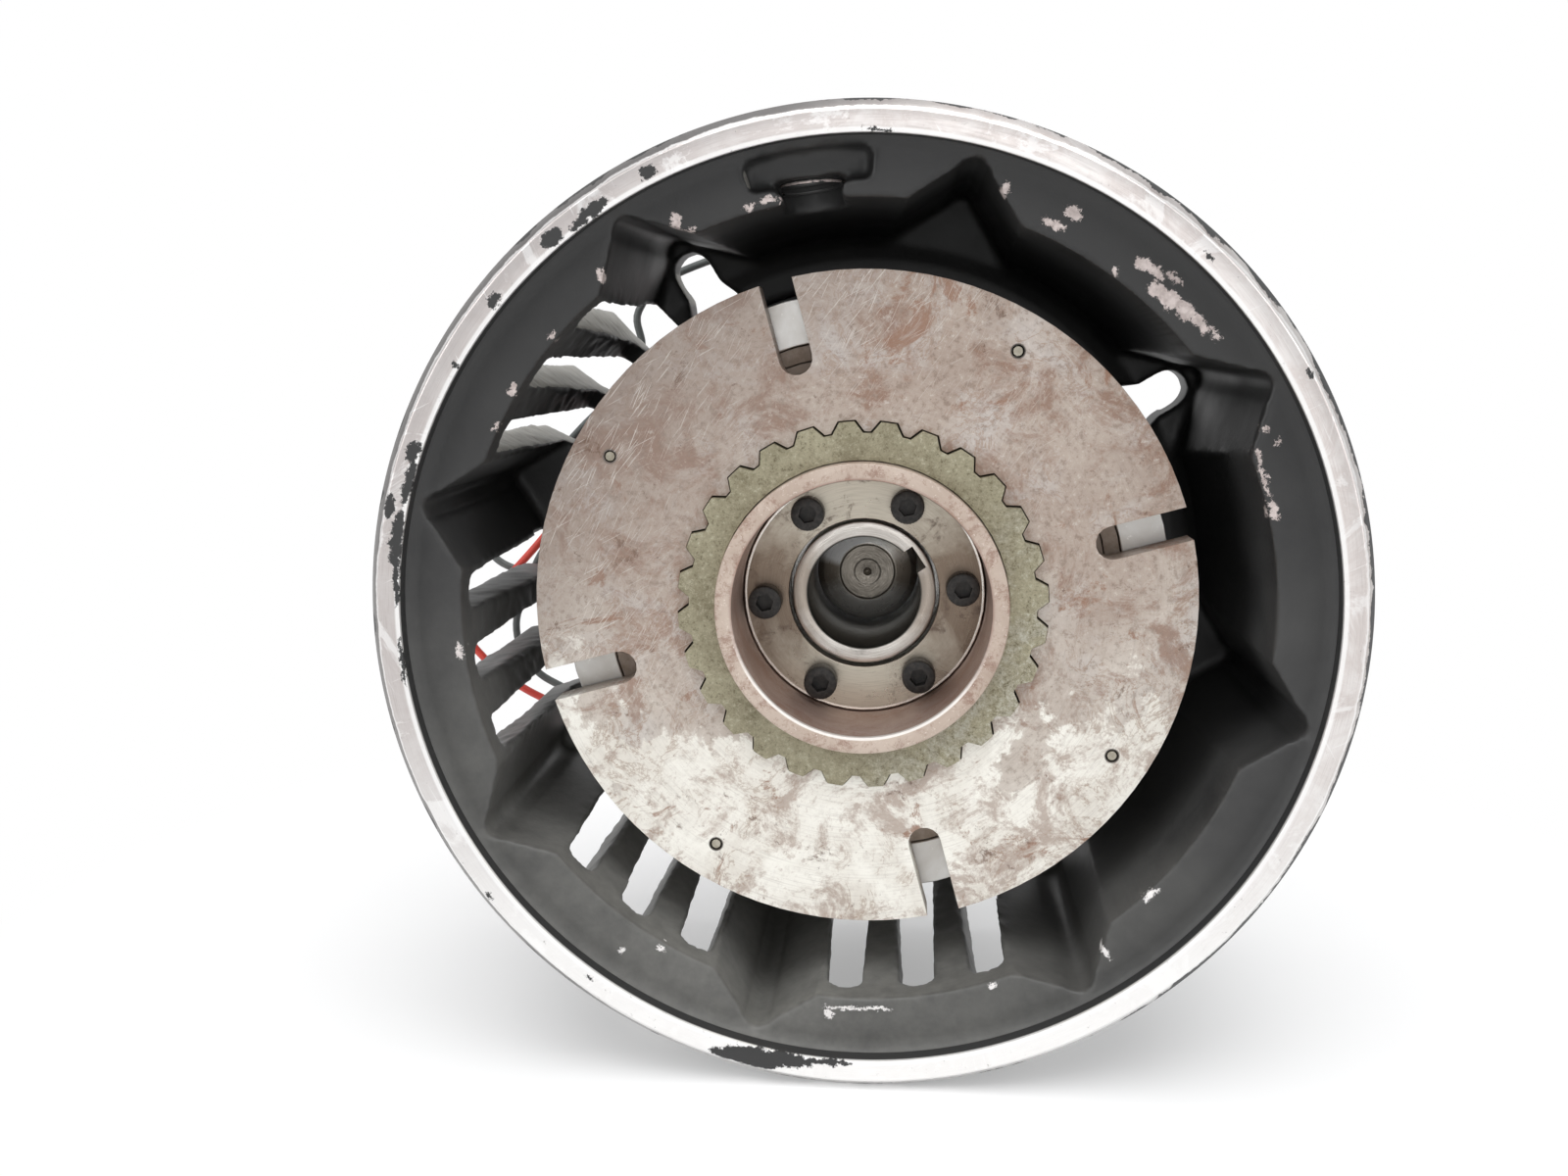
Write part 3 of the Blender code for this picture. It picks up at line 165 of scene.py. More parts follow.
def prism(name, outline, front, rear):
    """A prism over an outline of (x, z) points, between two depths."""
    shape = bmesh.new()
    near = [shape.verts.new((x, RIM_Y + front, z)) for x, z in outline]
    far = [shape.verts.new((x, RIM_Y + rear, z)) for x, z in outline]
    shape.faces.new(near)
    shape.faces.new(far[::-1])
    for index in range(len(outline)):
        after = (index + 1) % len(outline)
        shape.faces.new((near[index], far[index], far[after], near[after]))
    return piece(name, shape)


def soften(node, width, segments=2, angle=30.0):
    """Breaks the sharp edges of a CAD node that stays in view."""
    obj = nodes[node]
    weld = obj.modifiers.new("Weld", "WELD")
    weld.merge_threshold = 0.00001
    plain_faces = obj.modifiers.new("Flat faces joined", "DECIMATE")
    plain_faces.decimate_type = "DISSOLVE"
    plain_faces.angle_limit = math.radians(0.4)
    bevel = obj.modifiers.new("Edges", "BEVEL")
    bevel.width = width
    bevel.segments = segments
    bevel.limit_method = "ANGLE"
    bevel.angle_limit = math.radians(angle)
    flat = obj.modifiers.new("Flat faces", "WEIGHTED_NORMAL")
    flat.weight = 80
    flat.keep_sharp = True
    shaded(obj.data, angle)
    return obj


# Shader helpers

class Look:
    """A procedural material, built one node at a time in the piece's own coordinates."""

    def __init__(self, name):
        self.material = bpy.data.materials.new(name)
        self.material.use_nodes = True
        self.tree = self.material.node_tree
        self.shader = self.tree.nodes["Principled BSDF"]
        self.place = self.tree.nodes.new("ShaderNodeTexCoord").outputs["Object"]
        split = self.add("ShaderNodeSeparateXYZ")
        self.link(self.place, split.inputs[0])
        self.x, self.y, self.z = split.outputs
        self.depth = self.math("SUBTRACT", self.y, RIM_Y)
        squares = self.math("ADD", self.math("MULTIPLY", self.x, self.x),
                            self.math("MULTIPLY", self.z, self.z))
        self.radius = self.math("SQRT", squares)
        self.angle = self.math("ARCTAN2", self.z, self.x)

    def add(self, kind):
        return self.tree.nodes.new(kind)

    def link(self, source, socket):
        self.tree.links.new(source, socket)

    def feed(self, socket, value):
        if hasattr(value, "links"):
            self.link(value, socket)
        elif isinstance(value, tuple) and len(value) == 3 and socket.type == "RGBA":
            socket.default_value = (*value, 1.0)
        else:
            socket.default_value = value

    def math(self, operation, a, b=0.0, clamp=False):
        node = self.add("ShaderNodeMath")
        node.operation = operation
        node.use_clamp = clamp
        self.feed(node.inputs[0], a)
        self.feed(node.inputs[1], b)
        return node.outputs[0]

    def vector(self, x, y, z):
        node = self.add("ShaderNodeCombineXYZ")
        for socket, value in zip(node.inputs, (x, y, z)):
            self.feed(socket, value)
        return node.outputs[0]

    def noise(self, scale, detail=4.0, rough=0.55, where=None, warp=0.0):
        node = self.add("ShaderNodeTexNoise")
        node.inputs["Scale"].default_value = scale
        node.inputs["Detail"].default_value = detail
        node.inputs["Roughness"].default_value = rough
        node.inputs["Distortion"].default_value = warp
        self.link(where or self.place, node.inputs["Vector"])
        return node.outputs["Fac"]

    def cells(self, scale, where=None):
        node = self.add("ShaderNodeTexVoronoi")
        node.inputs["Scale"].default_value = scale
        self.link(where or self.place, node.inputs["Vector"])
        return node.outputs["Distance"]

    def span(self, value, low, high, start=0.0, end=1.0):
        """Maps low..high to start..end, held at the ends."""
        node = self.add("ShaderNodeMapRange")
        node.clamp = True
        for socket, number in zip(node.inputs[:5], (value, low, high, start, end)):
            self.feed(socket, number)
        return node.outputs[0]

    def mix(self, amount, first, second):
        node = self.add("ShaderNodeMix")
        node.data_type = "RGBA"
        self.feed(node.inputs["Factor"], amount)
        self.feed(node.inputs[6], first)
        self.feed(node.inputs[7], second)
        return node.outputs[2]

    def blend(self, amount, first, second):
        node = self.add("ShaderNodeMix")
        self.feed(node.inputs["Factor"], amount)
        self.feed(node.inputs[2], first)
        self.feed(node.inputs[3], second)
        return node.outputs[0]

    def round_grain(self, fine, along):
        """Coordinates that run long round the axis and short across it."""
        cosine = self.math("COSINE", self.angle)
        sine = self.math("SINE", self.angle)
        return self.vector(
            self.math("ADD", self.math("MULTIPLY", self.radius, fine),
                      self.math("MULTIPLY", self.depth, fine)),
            self.math("MULTIPLY", cosine, along),
            self.math("MULTIPLY", sine, along),
        )

    def scratches(self, degrees, fine, long, keep):
        """Thin straight scratches across the face, lying at an angle."""
        turn = math.radians(degrees)
        across = self.math("ADD", self.math("MULTIPLY", self.x, -math.sin(turn) * fine),
                           self.math("MULTIPLY", self.z, math.cos(turn) * fine))
        along = self.math("ADD", self.math("MULTIPLY", self.x, math.cos(turn) * long),
                          self.math("MULTIPLY", self.z, math.sin(turn) * long))
        field = self.noise(1.0, 2.0, 0.5, self.vector(across, along, degrees))
        return self.span(field, keep, keep + 0.04)

    def wobble(self, scale, size):
        """Two offsets, in metres, from one noise: they tear the outline of a mark."""
        node = self.add("ShaderNodeTexNoise")
        node.inputs["Scale"].default_value = scale
        node.inputs["Detail"].default_value = 8.0
        node.inputs["Roughness"].default_value = 0.78
        self.link(self.place, node.inputs["Vector"])
        split = self.add("ShaderNodeSeparateXYZ")
        self.link(node.outputs["Color"], split.inputs[0])
        return [self.math("MULTIPLY", self.math("SUBTRACT", way, 0.5), size) for way in split.outputs[:2]]

    def spots(self, places, scale, tear):
        """A mask of torn spots: (degrees, radius, half width, half height) seen from the front."""
        coarse = self.wobble(scale, tear)
        fine = self.wobble(scale * 3.6, tear * 0.55)
        push_round, push_out = (self.math("ADD", *pair) for pair in zip(coarse, fine))
        total = None
        for degrees, radius, wide, high in places:
            turn = math.radians(degrees)
            off_angle = self.math("SUBTRACT", self.angle, math.atan2(math.sin(turn), math.cos(turn)))
            off_angle = self.math("ARCTAN2", self.math("SINE", off_angle),
                                  self.math("COSINE", off_angle))
            along = self.math("ADD", self.math("MULTIPLY", off_angle, radius), push_round)
            across = self.math("ADD", self.math("SUBTRACT", self.radius, radius), push_out)
            u = self.math("DIVIDE", along, wide)
            v = self.math("DIVIDE", across, high)
            far = self.math("SQRT", self.math("ADD", self.math("MULTIPLY", u, u),
                                              self.math("MULTIPLY", v, v)))
            spot = self.math("SUBTRACT", 1.0, far)
            total = spot if total is None else self.math("MAXIMUM", total, spot)
        return self.span(total, 0.0, 0.06)

    def upright(self, cloud, wander):
        """1 above and below the axis and 0 beside it, torn by a noise: how a turned face shines."""
        push = self.math("MULTIPLY", self.math("SUBTRACT", cloud, 0.5), wander)
        return self.math("ADD", self.math("ABSOLUTE", self.math("SINE", self.angle)), push)

    def spun(self, strength):
        """Spreads the reflections across the turning marks."""
        way = self.add("ShaderNodeTangent")
        way.direction_type = "RADIAL"
        way.axis = "Y"
        self.link(way.outputs[0], self.shader.inputs["Tangent"])
        self.shader.inputs["Anisotropic"].default_value = strength

    def bump(self, height, strength, distance):
        node = self.add("ShaderNodeBump")
        node.inputs["Strength"].default_value = strength
        node.inputs["Distance"].default_value = distance
        self.feed(node.inputs["Height"], height)
        return node.outputs["Normal"]

    def finish(self, colour, roughness, metallic, normal=None):
        self.feed(self.shader.inputs["Base Color"], colour)
        self.feed(self.shader.inputs["Roughness"], roughness)
        self.feed(self.shader.inputs["Metallic"], metallic)
        if normal is not None:
            self.link(normal, self.shader.inputs["Normal"])
        return self.material


# Bare patches in the paint, as places seen from the front: degrees, radius and half sizes
SEAT_CHIPS = (
    (52.3, 0.1008, 0.0020, 0.0013), (50.5, 0.1014, 0.0024, 0.0012), (48.3, 0.1030, 0.0020, 0.0007),
    (49.0, 0.0987, 0.0019, 0.0015), (46.8, 0.0992, 0.0026, 0.0019), (44.4, 0.0997, 0.0024, 0.0018),
    (41.9, 0.1002, 0.0024, 0.0013), (39.6, 0.1012, 0.0018, 0.0006), (63.2, 0.1022, 0.0022, 0.0014),
    (64.8, 0.0981, 0.0026, 0.0011), (72.1, 0.1006, 0.0009, 0.0021), (22.9, 0.0964, 0.0022, 0.0005),
    (19.5, 0.0961, 0.0040, 0.0004), (15.4, 0.0960, 0.0026, 0.0010), (25.9, 0.1000, 0.0008, 0.0009),
    (23.8, 0.1013, 0.0007, 0.0005), (54.5, 0.0962, 0.0006, 0.0005), (115.2, 0.0990, 0.0010, 0.0022),
    (114.4, 0.0958, 0.0022, 0.0006), (105.5, 0.0962, 0.0012, 0.0007), (103.0, 0.0966, 0.0022, 0.0008),
    (100.8, 0.0970, 0.0008, 0.0010), (98.1, 0.0956, 0.0008, 0.0005), (127.4, 0.0979, 0.0008, 0.0020),
    (147.2, 0.0963, 0.0014, 0.0010), (138.0, 0.0960, 0.0010, 0.0006), (153.0, 0.0958, 0.0012, 0.0005),
    (186.0, 0.0962, 0.0022, 0.0007), (235.6, 0.1023, 0.0006, 0.0007), (240.0, 0.0964, 0.0012, 0.0007),
    (266.0, 0.0993, 0.0009, 0.0012), (268.6, 0.0974, 0.0060, 0.0004), (273.0, 0.0973, 0.0034, 0.0005),
    (290.0, 0.0960, 0.0010, 0.0005), (306.2, 0.0990, 0.0007, 0.0032), (316.5, 0.0958, 0.0024, 0.0005),
)
RIM_PAINT = (
    (115.4, 0.1108, 0.0022, 0.0018), (123.0, 0.1098, 0.0040, 0.0016), (125.4, 0.1091, 0.0024, 0.0010),
    (128.9, 0.1102, 0.0030, 0.0019), (139.0, 0.1098, 0.0020, 0.0015), (148.0, 0.1090, 0.0010, 0.0008),
    (159.7, 0.1100, 0.0028, 0.0018), (163.5, 0.1090, 0.0060, 0.0013), (167.0, 0.1122, 0.0030, 0.0012),
    (170.5, 0.1093, 0.0070, 0.0016), (176.0, 0.1086, 0.0060, 0.0008), (186.0, 0.1083, 0.0060, 0.0005),
    (254.0, 0.1122, 0.0050, 0.0014), (257.0, 0.1108, 0.0080, 0.0026), (261.0, 0.1096, 0.0070, 0.0016),
    (266.5, 0.1089, 0.0060, 0.0008), (47.4, 0.1104, 0.0012, 0.0007), (88.0, 0.1086, 0.0030, 0.0004),
    (234.0, 0.1098, 0.0010, 0.0006), (218.0, 0.1124, 0.0014, 0.0006), (30.0, 0.1126, 0.0016, 0.0005),
)


def cast_paint():
    """Satin black paint on a casting: dusty below, chipped, with saw-cut vent sides left bare above."""
    look = Look("cast_black_paint")
    cloud = look.noise(38.0, 5.0, 0.6)
    grain = look.noise(950.0, 3.0, 0.6)
    speck = look.noise(310.0, 5.0, 0.65)
    paint = look.mix(look.span(cloud, 0.35, 0.7), (0.023, 0.023, 0.0235), (0.044, 0.044, 0.043))
    # Darker towards the top: painted shade
    paint = look.mix(look.span(look.z, -0.01, 0.07, 0.0, 0.55), paint, (0.011, 0.011, 0.011))
    low = look.math("MULTIPLY", look.span(look.z, 0.02, -0.09), look.span(look.x, 0.10, 0.0))
    dust = look.math("MULTIPLY", look.span(look.math("ADD", speck, cloud), 0.70, 1.30, 0.45, 0.85), low)
    dust = look.math("MULTIPLY", dust, look.span(look.depth, REGISTER_DEPTH + 0.0006, REGISTER_DEPTH + 0.0020, 0.68, 1.0))
    paint = look.mix(dust, paint, (0.205, 0.202, 0.186))
    # The conduit entry recess made a little darker: painted shade in the recess
    off = look.math("ABSOLUTE", look.math("SUBTRACT", look.angle, math.radians(CONDUIT_ANGLE)))
    conduit_entry_shade = look.math("MULTIPLY", look.span(off, 0.17, 0.14), look.span(look.depth, 0.0066, 0.0074))
    conduit_entry_shade = look.math("MULTIPLY", conduit_entry_shade, look.span(look.radius, 0.0935, 0.0950))
    paint = look.mix(look.math("MULTIPLY", conduit_entry_shade, 0.3), paint, (0.007, 0.007, 0.007))
    chips = look.spots(SEAT_CHIPS, 420.0, 0.0058)
    on_front = look.span(look.depth, REGISTER_DEPTH + 0.004, REGISTER_DEPTH + 0.0025)
    chips = look.math("MULTIPLY", chips, on_front)
    edge = look.add("ShaderNodeNewGeometry").outputs["Pointiness"]
    worn = look.math("ADD", look.span(edge, 0.53, 0.6), look.math("MULTIPLY", speck, 0.9))
    bare = look.math("MAXIMUM", chips, look.span(worn, 1.36, 1.42))
    metal = look.mix(look.span(look.noise(700.0, 3.0), 0.35, 0.65), (0.62, 0.545, 0.52), (0.42, 0.355, 0.335))
    # Bare metal whiter towards the bottom: painted light
    metal = look.mix(look.span(look.z, 0.02, -0.04, 0.0, 0.75), metal, (0.88, 0.87, 0.86))
    colour = look.mix(bare, paint, metal)
    saw = look.noise(1.0, 4.0, 0.65, look.vector(look.math("MULTIPLY", look.depth, 1500.0),
                                                 look.math("MULTIPLY", look.radius, 320.0), look.angle))
    sawn = look.mix(look.span(saw, 0.35, 0.68), (0.40, 0.385, 0.35), (0.22, 0.212, 0.19))
    sides = vent_sides(look, speck)
    colour = look.mix(sides, colour, sawn)
    bare = look.math("MAXIMUM", bare, sides)
    roughness = look.blend(bare, look.span(cloud, 0.3, 0.7, 0.40, 0.55), 0.5)
    height = look.math("SUBTRACT", look.math("MULTIPLY", grain, 0.35), look.math("MULTIPLY", bare, 0.8))
    return look.finish(colour, roughness, look.math("MULTIPLY", bare, 0.4),
                       look.bump(height, 0.35, 0.0004))


def vent_sides(look, ragged):
    """A mask of the vent sides on the upper left, which face round the axis."""
    facing = look.add("ShaderNodeSeparateXYZ")
    look.link(look.tree.nodes["Texture Coordinate"].outputs["Normal"], facing.inputs[0])
    round_way = look.math("SUBTRACT", look.math("MULTIPLY", look.x, facing.outputs[2]),
                          look.math("MULTIPLY", look.z, facing.outputs[0]))
    share = look.math("ABSOLUTE", look.math("DIVIDE", round_way, look.radius))
    share = look.math("ADD", share, look.math("MULTIPLY", look.math("SUBTRACT", ragged, 0.5), 0.25))
    sides = look.math("MULTIPLY", look.span(share, 0.86, 0.92), look.span(look.z, 0.004, 0.02))
    walls = look.math("MULTIPLY", look.span(look.radius, 0.0890, 0.0905),
                      look.span(look.radius, WALL_RADIUS + 0.0025, WALL_RADIUS + 0.0010))
    return look.math("MULTIPLY", look.math("MULTIPLY", sides, walls), look.span(look.x, -0.02, -0.03))


def rim_metal():
    """The machined rim: bare aluminium, streaked round, nicked, with paint left in patches."""
    look = Look("machined_rim")
    streak = look.noise(1.0, 3.0, 0.6, look.round_grain(5200.0, 14.0))
    cloud = look.noise(55.0, 7.0, 0.7, warp=0.8)
    nick = look.span(look.noise(620.0, 6.0, 0.75), 0.64, 0.69)
    lines = look.math("MAXIMUM", look.scratches(25.0, 1500.0, 60.0, 0.69), look.scratches(-62.0, 1400.0, 50.0, 0.70))
    metal = look.mix(look.span(cloud, 0.40, 0.60), (0.77, 0.735, 0.715), (0.60, 0.535, 0.51))
    # Greyer towards the left and upper left: painted shade in the rim's reflection
    left = look.span(look.math("SUBTRACT", look.x, look.math("MULTIPLY", look.z, 0.25)), -0.01, -0.08)
    metal = look.mix(look.math("MULTIPLY", left, 0.6), metal, (0.50, 0.465, 0.455))
    metal = look.mix(look.math("MULTIPLY", look.span(streak, 0.48, 0.72), 0.35), metal, (0.40, 0.35, 0.335))
    # Whiter towards the bottom: painted reflection of the pale floor
    metal = look.mix(look.span(look.z, -0.02, -0.08, 0.0, 0.75), metal, (0.96, 0.96, 0.95))
    metal = look.mix(look.math("MULTIPLY", lines, 0.5), metal, (0.90, 0.89, 0.88))
    ragged = look.math("MULTIPLY", look.math("SUBTRACT", cloud, 0.5), 0.010)
    torn = look.math("ADD", look.depth, look.math("MULTIPLY", ragged, 0.35))
    # A white line where the land meets the bevel: painted highlight on the edge
    line = look.math("MULTIPLY", look.span(torn, 0.0001, 0.0003), look.span(torn, 0.0011, 0.0008))
    metal = look.mix(look.math("MULTIPLY", line, 0.6), metal, (0.95, 0.945, 0.935))
    on_bevel = look.math("MULTIPLY", look.span(torn, 0.0008, 0.0012), look.span(left, 0.0, 0.5, 0.30, 0.9))
    metal = look.mix(on_bevel, metal, (0.155, 0.15, 0.147))
    # A white line along the inner edge of the land: painted highlight
    lip_highlight = look.math("MULTIPLY", look.span(look.radius, REGISTER_RADIUS + 0.0013, REGISTER_RADIUS + 0.0009), 0.7)
    metal = look.mix(lip_highlight, metal, (0.96, 0.955, 0.945))
    paint = look.spots(RIM_PAINT, 300.0, 0.0050)
    inside = look.math("MULTIPLY", look.span(look.radius, REGISTER_RADIUS + 0.0006, REGISTER_RADIUS + 0.0002),
                       look.span(look.depth, 0.0004, 0.0009))
    right = look.span(look.x, 0.02, 0.09, 0.0, 0.0016)
    outside = look.span(look.math("ADD", look.math("ADD", look.depth, ragged), right), 0.0034, 0.0036)
    paint = look.math("MAXIMUM", paint, look.math("MAXIMUM", inside, outside))
    colour = look.mix(look.math("MULTIPLY", nick, 0.55), metal, (0.20, 0.175, 0.165))
    colour = look.mix(paint, colour, (0.026, 0.026, 0.026))
    roughness = look.blend(paint, look.span(streak, 0.3, 0.7, 0.28, 0.46), 0.5)
    metallic = look.span(paint, 0.0, 1.0, 0.75, 0.0)
    height = look.math("ADD", look.math("MULTIPLY", streak, 0.3),
                       look.math("SUBTRACT", look.math("MULTIPLY", paint, 0.5), nick))
    return look.finish(colour, roughness, metallic, look.bump(height, 0.25, 0.0003))


PIN_PITCH = 0.0707
PIN_PHASE = 59.5
PIN_RING = 0.00165


def disc_steel():
    """The armature: brown tarnish above, pale below, with rust clouds, scratches and stains."""
    look = Look("armature_steel")
    cloud = look.noise(24.0, 6.0, 0.62, warp=0.5)
    tint = look.noise(48.0, 5.0, 0.6, warp=1.0)
    bloom = look.noise(62.0, 9.0, 0.74, warp=0.6)
    fleck = look.noise(560.0, 5.0, 0.75)
    brown = look.mix(look.span(cloud, 0.36, 0.62), (0.475, 0.405, 0.350), (0.375, 0.300, 0.252))
    brown = look.mix(look.span(tint, 0.50, 0.70), brown, (0.49, 0.445, 0.415))
    rise = look.math("ADD", look.z, look.math("MULTIPLY", look.math("SUBTRACT", cloud, 0.5), 0.11))
    fade = look.span(rise, 0.012, -0.055)
    patch = look.math("ADD", look.noise(85.0, 9.0, 0.72, warp=0.4), look.math("MULTIPLY", fade, 0.52))
    pale = look.math("MAXIMUM", look.span(patch, 0.76, 0.84), look.math("MULTIPLY", fade, 0.62))
    cream = look.mix(look.span(tint, 0.38, 0.64), (0.86, 0.84, 0.775), (0.715, 0.68, 0.615))
    colour = look.mix(pale, brown, cream)
    mottle = look.math("ADD", bloom, look.math("MULTIPLY", look.math("SUBTRACT", fleck, 0.5), 0.30))
    rusty = look.span(mottle, 0.505, 0.60)
    rusty = look.math("MULTIPLY", rusty, look.span(pale, 0.0, 1.0, 0.78, 0.60))
    colour = look.mix(rusty, colour, (0.225, 0.122, 0.080))
    pepper = look.span(pale, 0.0, 1.0, 0.55, 0.14)
    colour = look.mix(look.math("MULTIPLY", look.span(fleck, 0.48, 0.37), pepper), colour, (0.185, 0.125, 0.092))
    colour = look.mix(look.math("MULTIPLY", look.span(fleck, 0.57, 0.68), pepper), colour, (0.66, 0.62, 0.565))
    veins = look.math("ABSOLUTE", look.math("SUBTRACT", look.noise(75.0, 8.0, 0.7, warp=1.2), 0.5))
    veins = look.math("MULTIPLY", look.span(veins, 0.022, 0.004), look.span(tint, 0.46, 0.58))
    colour = look.mix(look.math("MULTIPLY", veins, 0.6), colour, (0.30, 0.195, 0.135))
    blotch = look.span(look.noise(44.0, 9.0, 0.76, warp=0.9), 0.58, 0.62)
    colour = look.mix(look.math("MULTIPLY", blotch, 0.8), colour, (0.265, 0.140, 0.088))
    for number in range(4):
        middle = at(PIN_PITCH, PIN_PHASE + 90.0 * number, 0.0)
        away = look.add("ShaderNodeVectorMath")
        away.operation = "DISTANCE"
        away.inputs[1].default_value = (middle.x, 0.0, middle.z)
        look.link(look.vector(look.x, 0.0, look.z), away.inputs[0])
        ring = look.span(away.outputs["Value"], PIN_RING + 0.0003, PIN_RING)
        colour = look.mix(ring, colour, (0.05, 0.042, 0.035))
    # Darker towards the upper left: painted shade
    corner = look.math("SUBTRACT", look.math("SUBTRACT", look.z, look.x), look.math("MULTIPLY", cloud, 0.05))
    colour = look.mix(look.span(corner, 0.02, 0.08, 0.0, 0.54), colour, (0.235, 0.190, 0.165))
    stain = look.span(look.math("ADD", look.noise(120.0, 8.0, 0.8, warp=0.5),
                                look.math("MULTIPLY", look.math("SUBTRACT", fleck, 0.5), 0.25)), 0.60, 0.66)
    colour = look.mix(look.math("MULTIPLY", stain, 0.75), colour, (0.135, 0.078, 0.052))
    lines = look.math("MAXIMUM", look.scratches(52.0, 3100.0, 85.0, 0.63), look.scratches(67.0, 3400.0, 95.0, 0.64))
    lines = look.math("MAXIMUM", lines, look.scratches(28.0, 2900.0, 80.0, 0.66))
    left = look.span(look.math("SUBTRACT", look.x, look.math("MULTIPLY", look.z, 0.6)), 0.04, -0.06, 0.12, 0.6)
    rubbed = look.math("MULTIPLY", look.math("MULTIPLY", lines, look.span(look.noise(22.0, 2.0), 0.38, 0.60)), left)
    colour = look.mix(rubbed, colour, (0.70, 0.66, 0.62))
    ring = look.noise(1.0, 2.0, 0.5, look.round_grain(2600.0, 5.0))
    colour = look.mix(look.math("MULTIPLY", look.span(ring, 0.52, 0.75), 0.25), colour, (0.26, 0.215, 0.185))
    rough = look.blend(rusty, look.span(cloud, 0.3, 0.7, 0.36, 0.50), 0.75)
    height = look.math("SUBTRACT", look.math("MULTIPLY", fleck, 0.4), look.math("MULTIPLY", lines, 0.4))
    return look.finish(colour, rough, look.span(rusty, 0.0, 1.0, 0.45, 0.1), look.bump(height, 0.22, 0.0002))


CARRIER_BORE = 0.031
SLEEVE_BORE = 0.01428
SHAFT_NOSE = 0.0077
FACING_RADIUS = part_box("friction_facing")[1].x


def rotor_steel(clean, tarnish, rust, rust_amount, roughness, metal=0.7):
    """Ground steel with tarnish clouds, rust blooms and flecks, browned inside the friction facing."""
    look = Look("rotor_steel")
    cloud = look.noise(42.0, 7.0, 0.65, warp=0.6)
    bloom = look.noise(95.0, 9.0, 0.76, warp=0.4)
    fleck = look.noise(640.0, 5.0, 0.75)
    colour = look.mix(look.span(cloud, 0.38, 0.62), clean, tarnish)
    mottle = look.math("ADD", bloom, look.math("MULTIPLY", look.math("SUBTRACT", fleck, 0.5), 0.35))
    rusty = look.span(mottle, 0.64 - rust_amount, 0.74 - rust_amount)
    colour = look.mix(look.math("MULTIPLY", rusty, 0.85), colour, rust)
    colour = look.mix(look.math("MULTIPLY", look.span(fleck, 0.62, 0.70), 0.5), colour,
                      tuple(min(1.0, c * 1.5) for c in clean))
    brown = look.span(look.radius, FACING_RADIUS + 0.0006, FACING_RADIUS + 0.0002)
    colour = look.mix(brown, colour, (0.33, 0.27, 0.225))
    rusty = look.math("MAXIMUM", rusty, brown)
    height = look.math("MULTIPLY", look.math("SUBTRACT", fleck, rusty), 0.4)
    rough = look.blend(rusty, look.span(cloud, 0.3, 0.7, roughness, roughness + 0.14), 0.72)
    metallic = look.span(rusty, 0.0, 1.0, metal, metal * 0.3)
    return look.finish(colour, rough, metallic, look.bump(height, 0.2, 0.0002))


def collar_steel():
    """The collar: rusty and speckled on its end, dark and polished in its bore."""
    look = Look("collar_steel")
    cloud = look.noise(46.0, 6.0, 0.65, warp=0.6)
    bloom = look.noise(150.0, 9.0, 0.78, warp=0.4)
    fleck = look.noise(1200.0, 6.0, 0.8)
    end = look.mix(look.span(cloud, 0.38, 0.62), (0.56, 0.465, 0.395), (0.43, 0.335, 0.275))
    mottle = look.math("ADD", bloom, look.math("MULTIPLY", look.math("SUBTRACT", fleck, 0.5), 0.5))
    rusty = look.span(mottle, 0.50, 0.62)
    end = look.mix(look.math("MULTIPLY", rusty, 0.75), end, (0.27, 0.155, 0.115))
    end = look.mix(look.span(fleck, 0.58, 0.66), end, (0.78, 0.71, 0.64))
    bore = look.mix(look.span(cloud, 0.36, 0.64), (0.46, 0.345, 0.295), (0.33, 0.225, 0.180))
    bore = look.mix(look.math("MULTIPLY", rusty, 0.5), bore, (0.30, 0.155, 0.105))
    inside = look.span(look.radius, CARRIER_BORE + 0.0008, CARRIER_BORE + 0.0003)
    colour = look.mix(inside, end, bore)
    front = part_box("hub_carrier")[0].y - RIM_Y
    # A bright line on the lower front edge of the bore: painted highlight
    edge = look.math("MULTIPLY", look.span(look.radius, CARRIER_BORE + 0.0009, CARRIER_BORE + 0.0007),
                     look.span(look.depth, front + 0.0009, front + 0.0007))
    edge = look.math("MULTIPLY", edge, look.span(look.math("ADD", look.z, look.math("MULTIPLY", cloud, 0.03)),
                                                 0.008, -0.008))
    colour = look.mix(look.math("MULTIPLY", edge, 0.85), colour, (0.95, 0.91, 0.86))
    rough = look.blend(inside, look.span(mottle, 0.4, 0.6, 0.36, 0.62), 0.3)
    metallic = look.span(inside, 0.0, 1.0, 0.5, 0.55)
    return look.finish(colour, rough, metallic, look.bump(mottle, 0.35, 0.0003))


def turned_steel(name, colour, dark, roughness, fine=5200.0, stain=0.0, beside=None, bore=0.0):
    """Lathe-turned steel: rings that spread its reflections across them, and a little staining."""
    look = Look(name)
    ring = look.noise(1.0, 2.0, 0.5, look.round_grain(fine, 3.0))
    cloud = look.noise(120.0, 6.0, 0.65, warp=0.5)
    base = look.mix(look.span(ring, 0.35, 0.7), colour, dark)
    # A beside colour goes beside the axis, where a turned face looks dark in its reflection: painted reflection
    if beside:
        base = look.mix(look.span(look.upright(cloud, 0.9), 0.80, 0.30), base, beside)
    mark = look.span(cloud, 0.62 - stain, 0.74 - stain)
    base = look.mix(look.math("MULTIPLY", mark, 0.7), base, tuple(c * 0.35 for c in dark))
    # Darker on the bore wall: painted shade inside the bore
    if bore:
        base = look.mix(look.span(look.radius, bore + 0.0006, bore + 0.0003), base, (0.085, 0.08, 0.07))
    rough = look.blend(mark, look.span(ring, 0.3, 0.7, roughness, roughness + 0.1), roughness + 0.3)
    look.spun(0.75)
    return look.finish(base, rough, 0.95, look.bump(ring, 0.12, 0.0002))


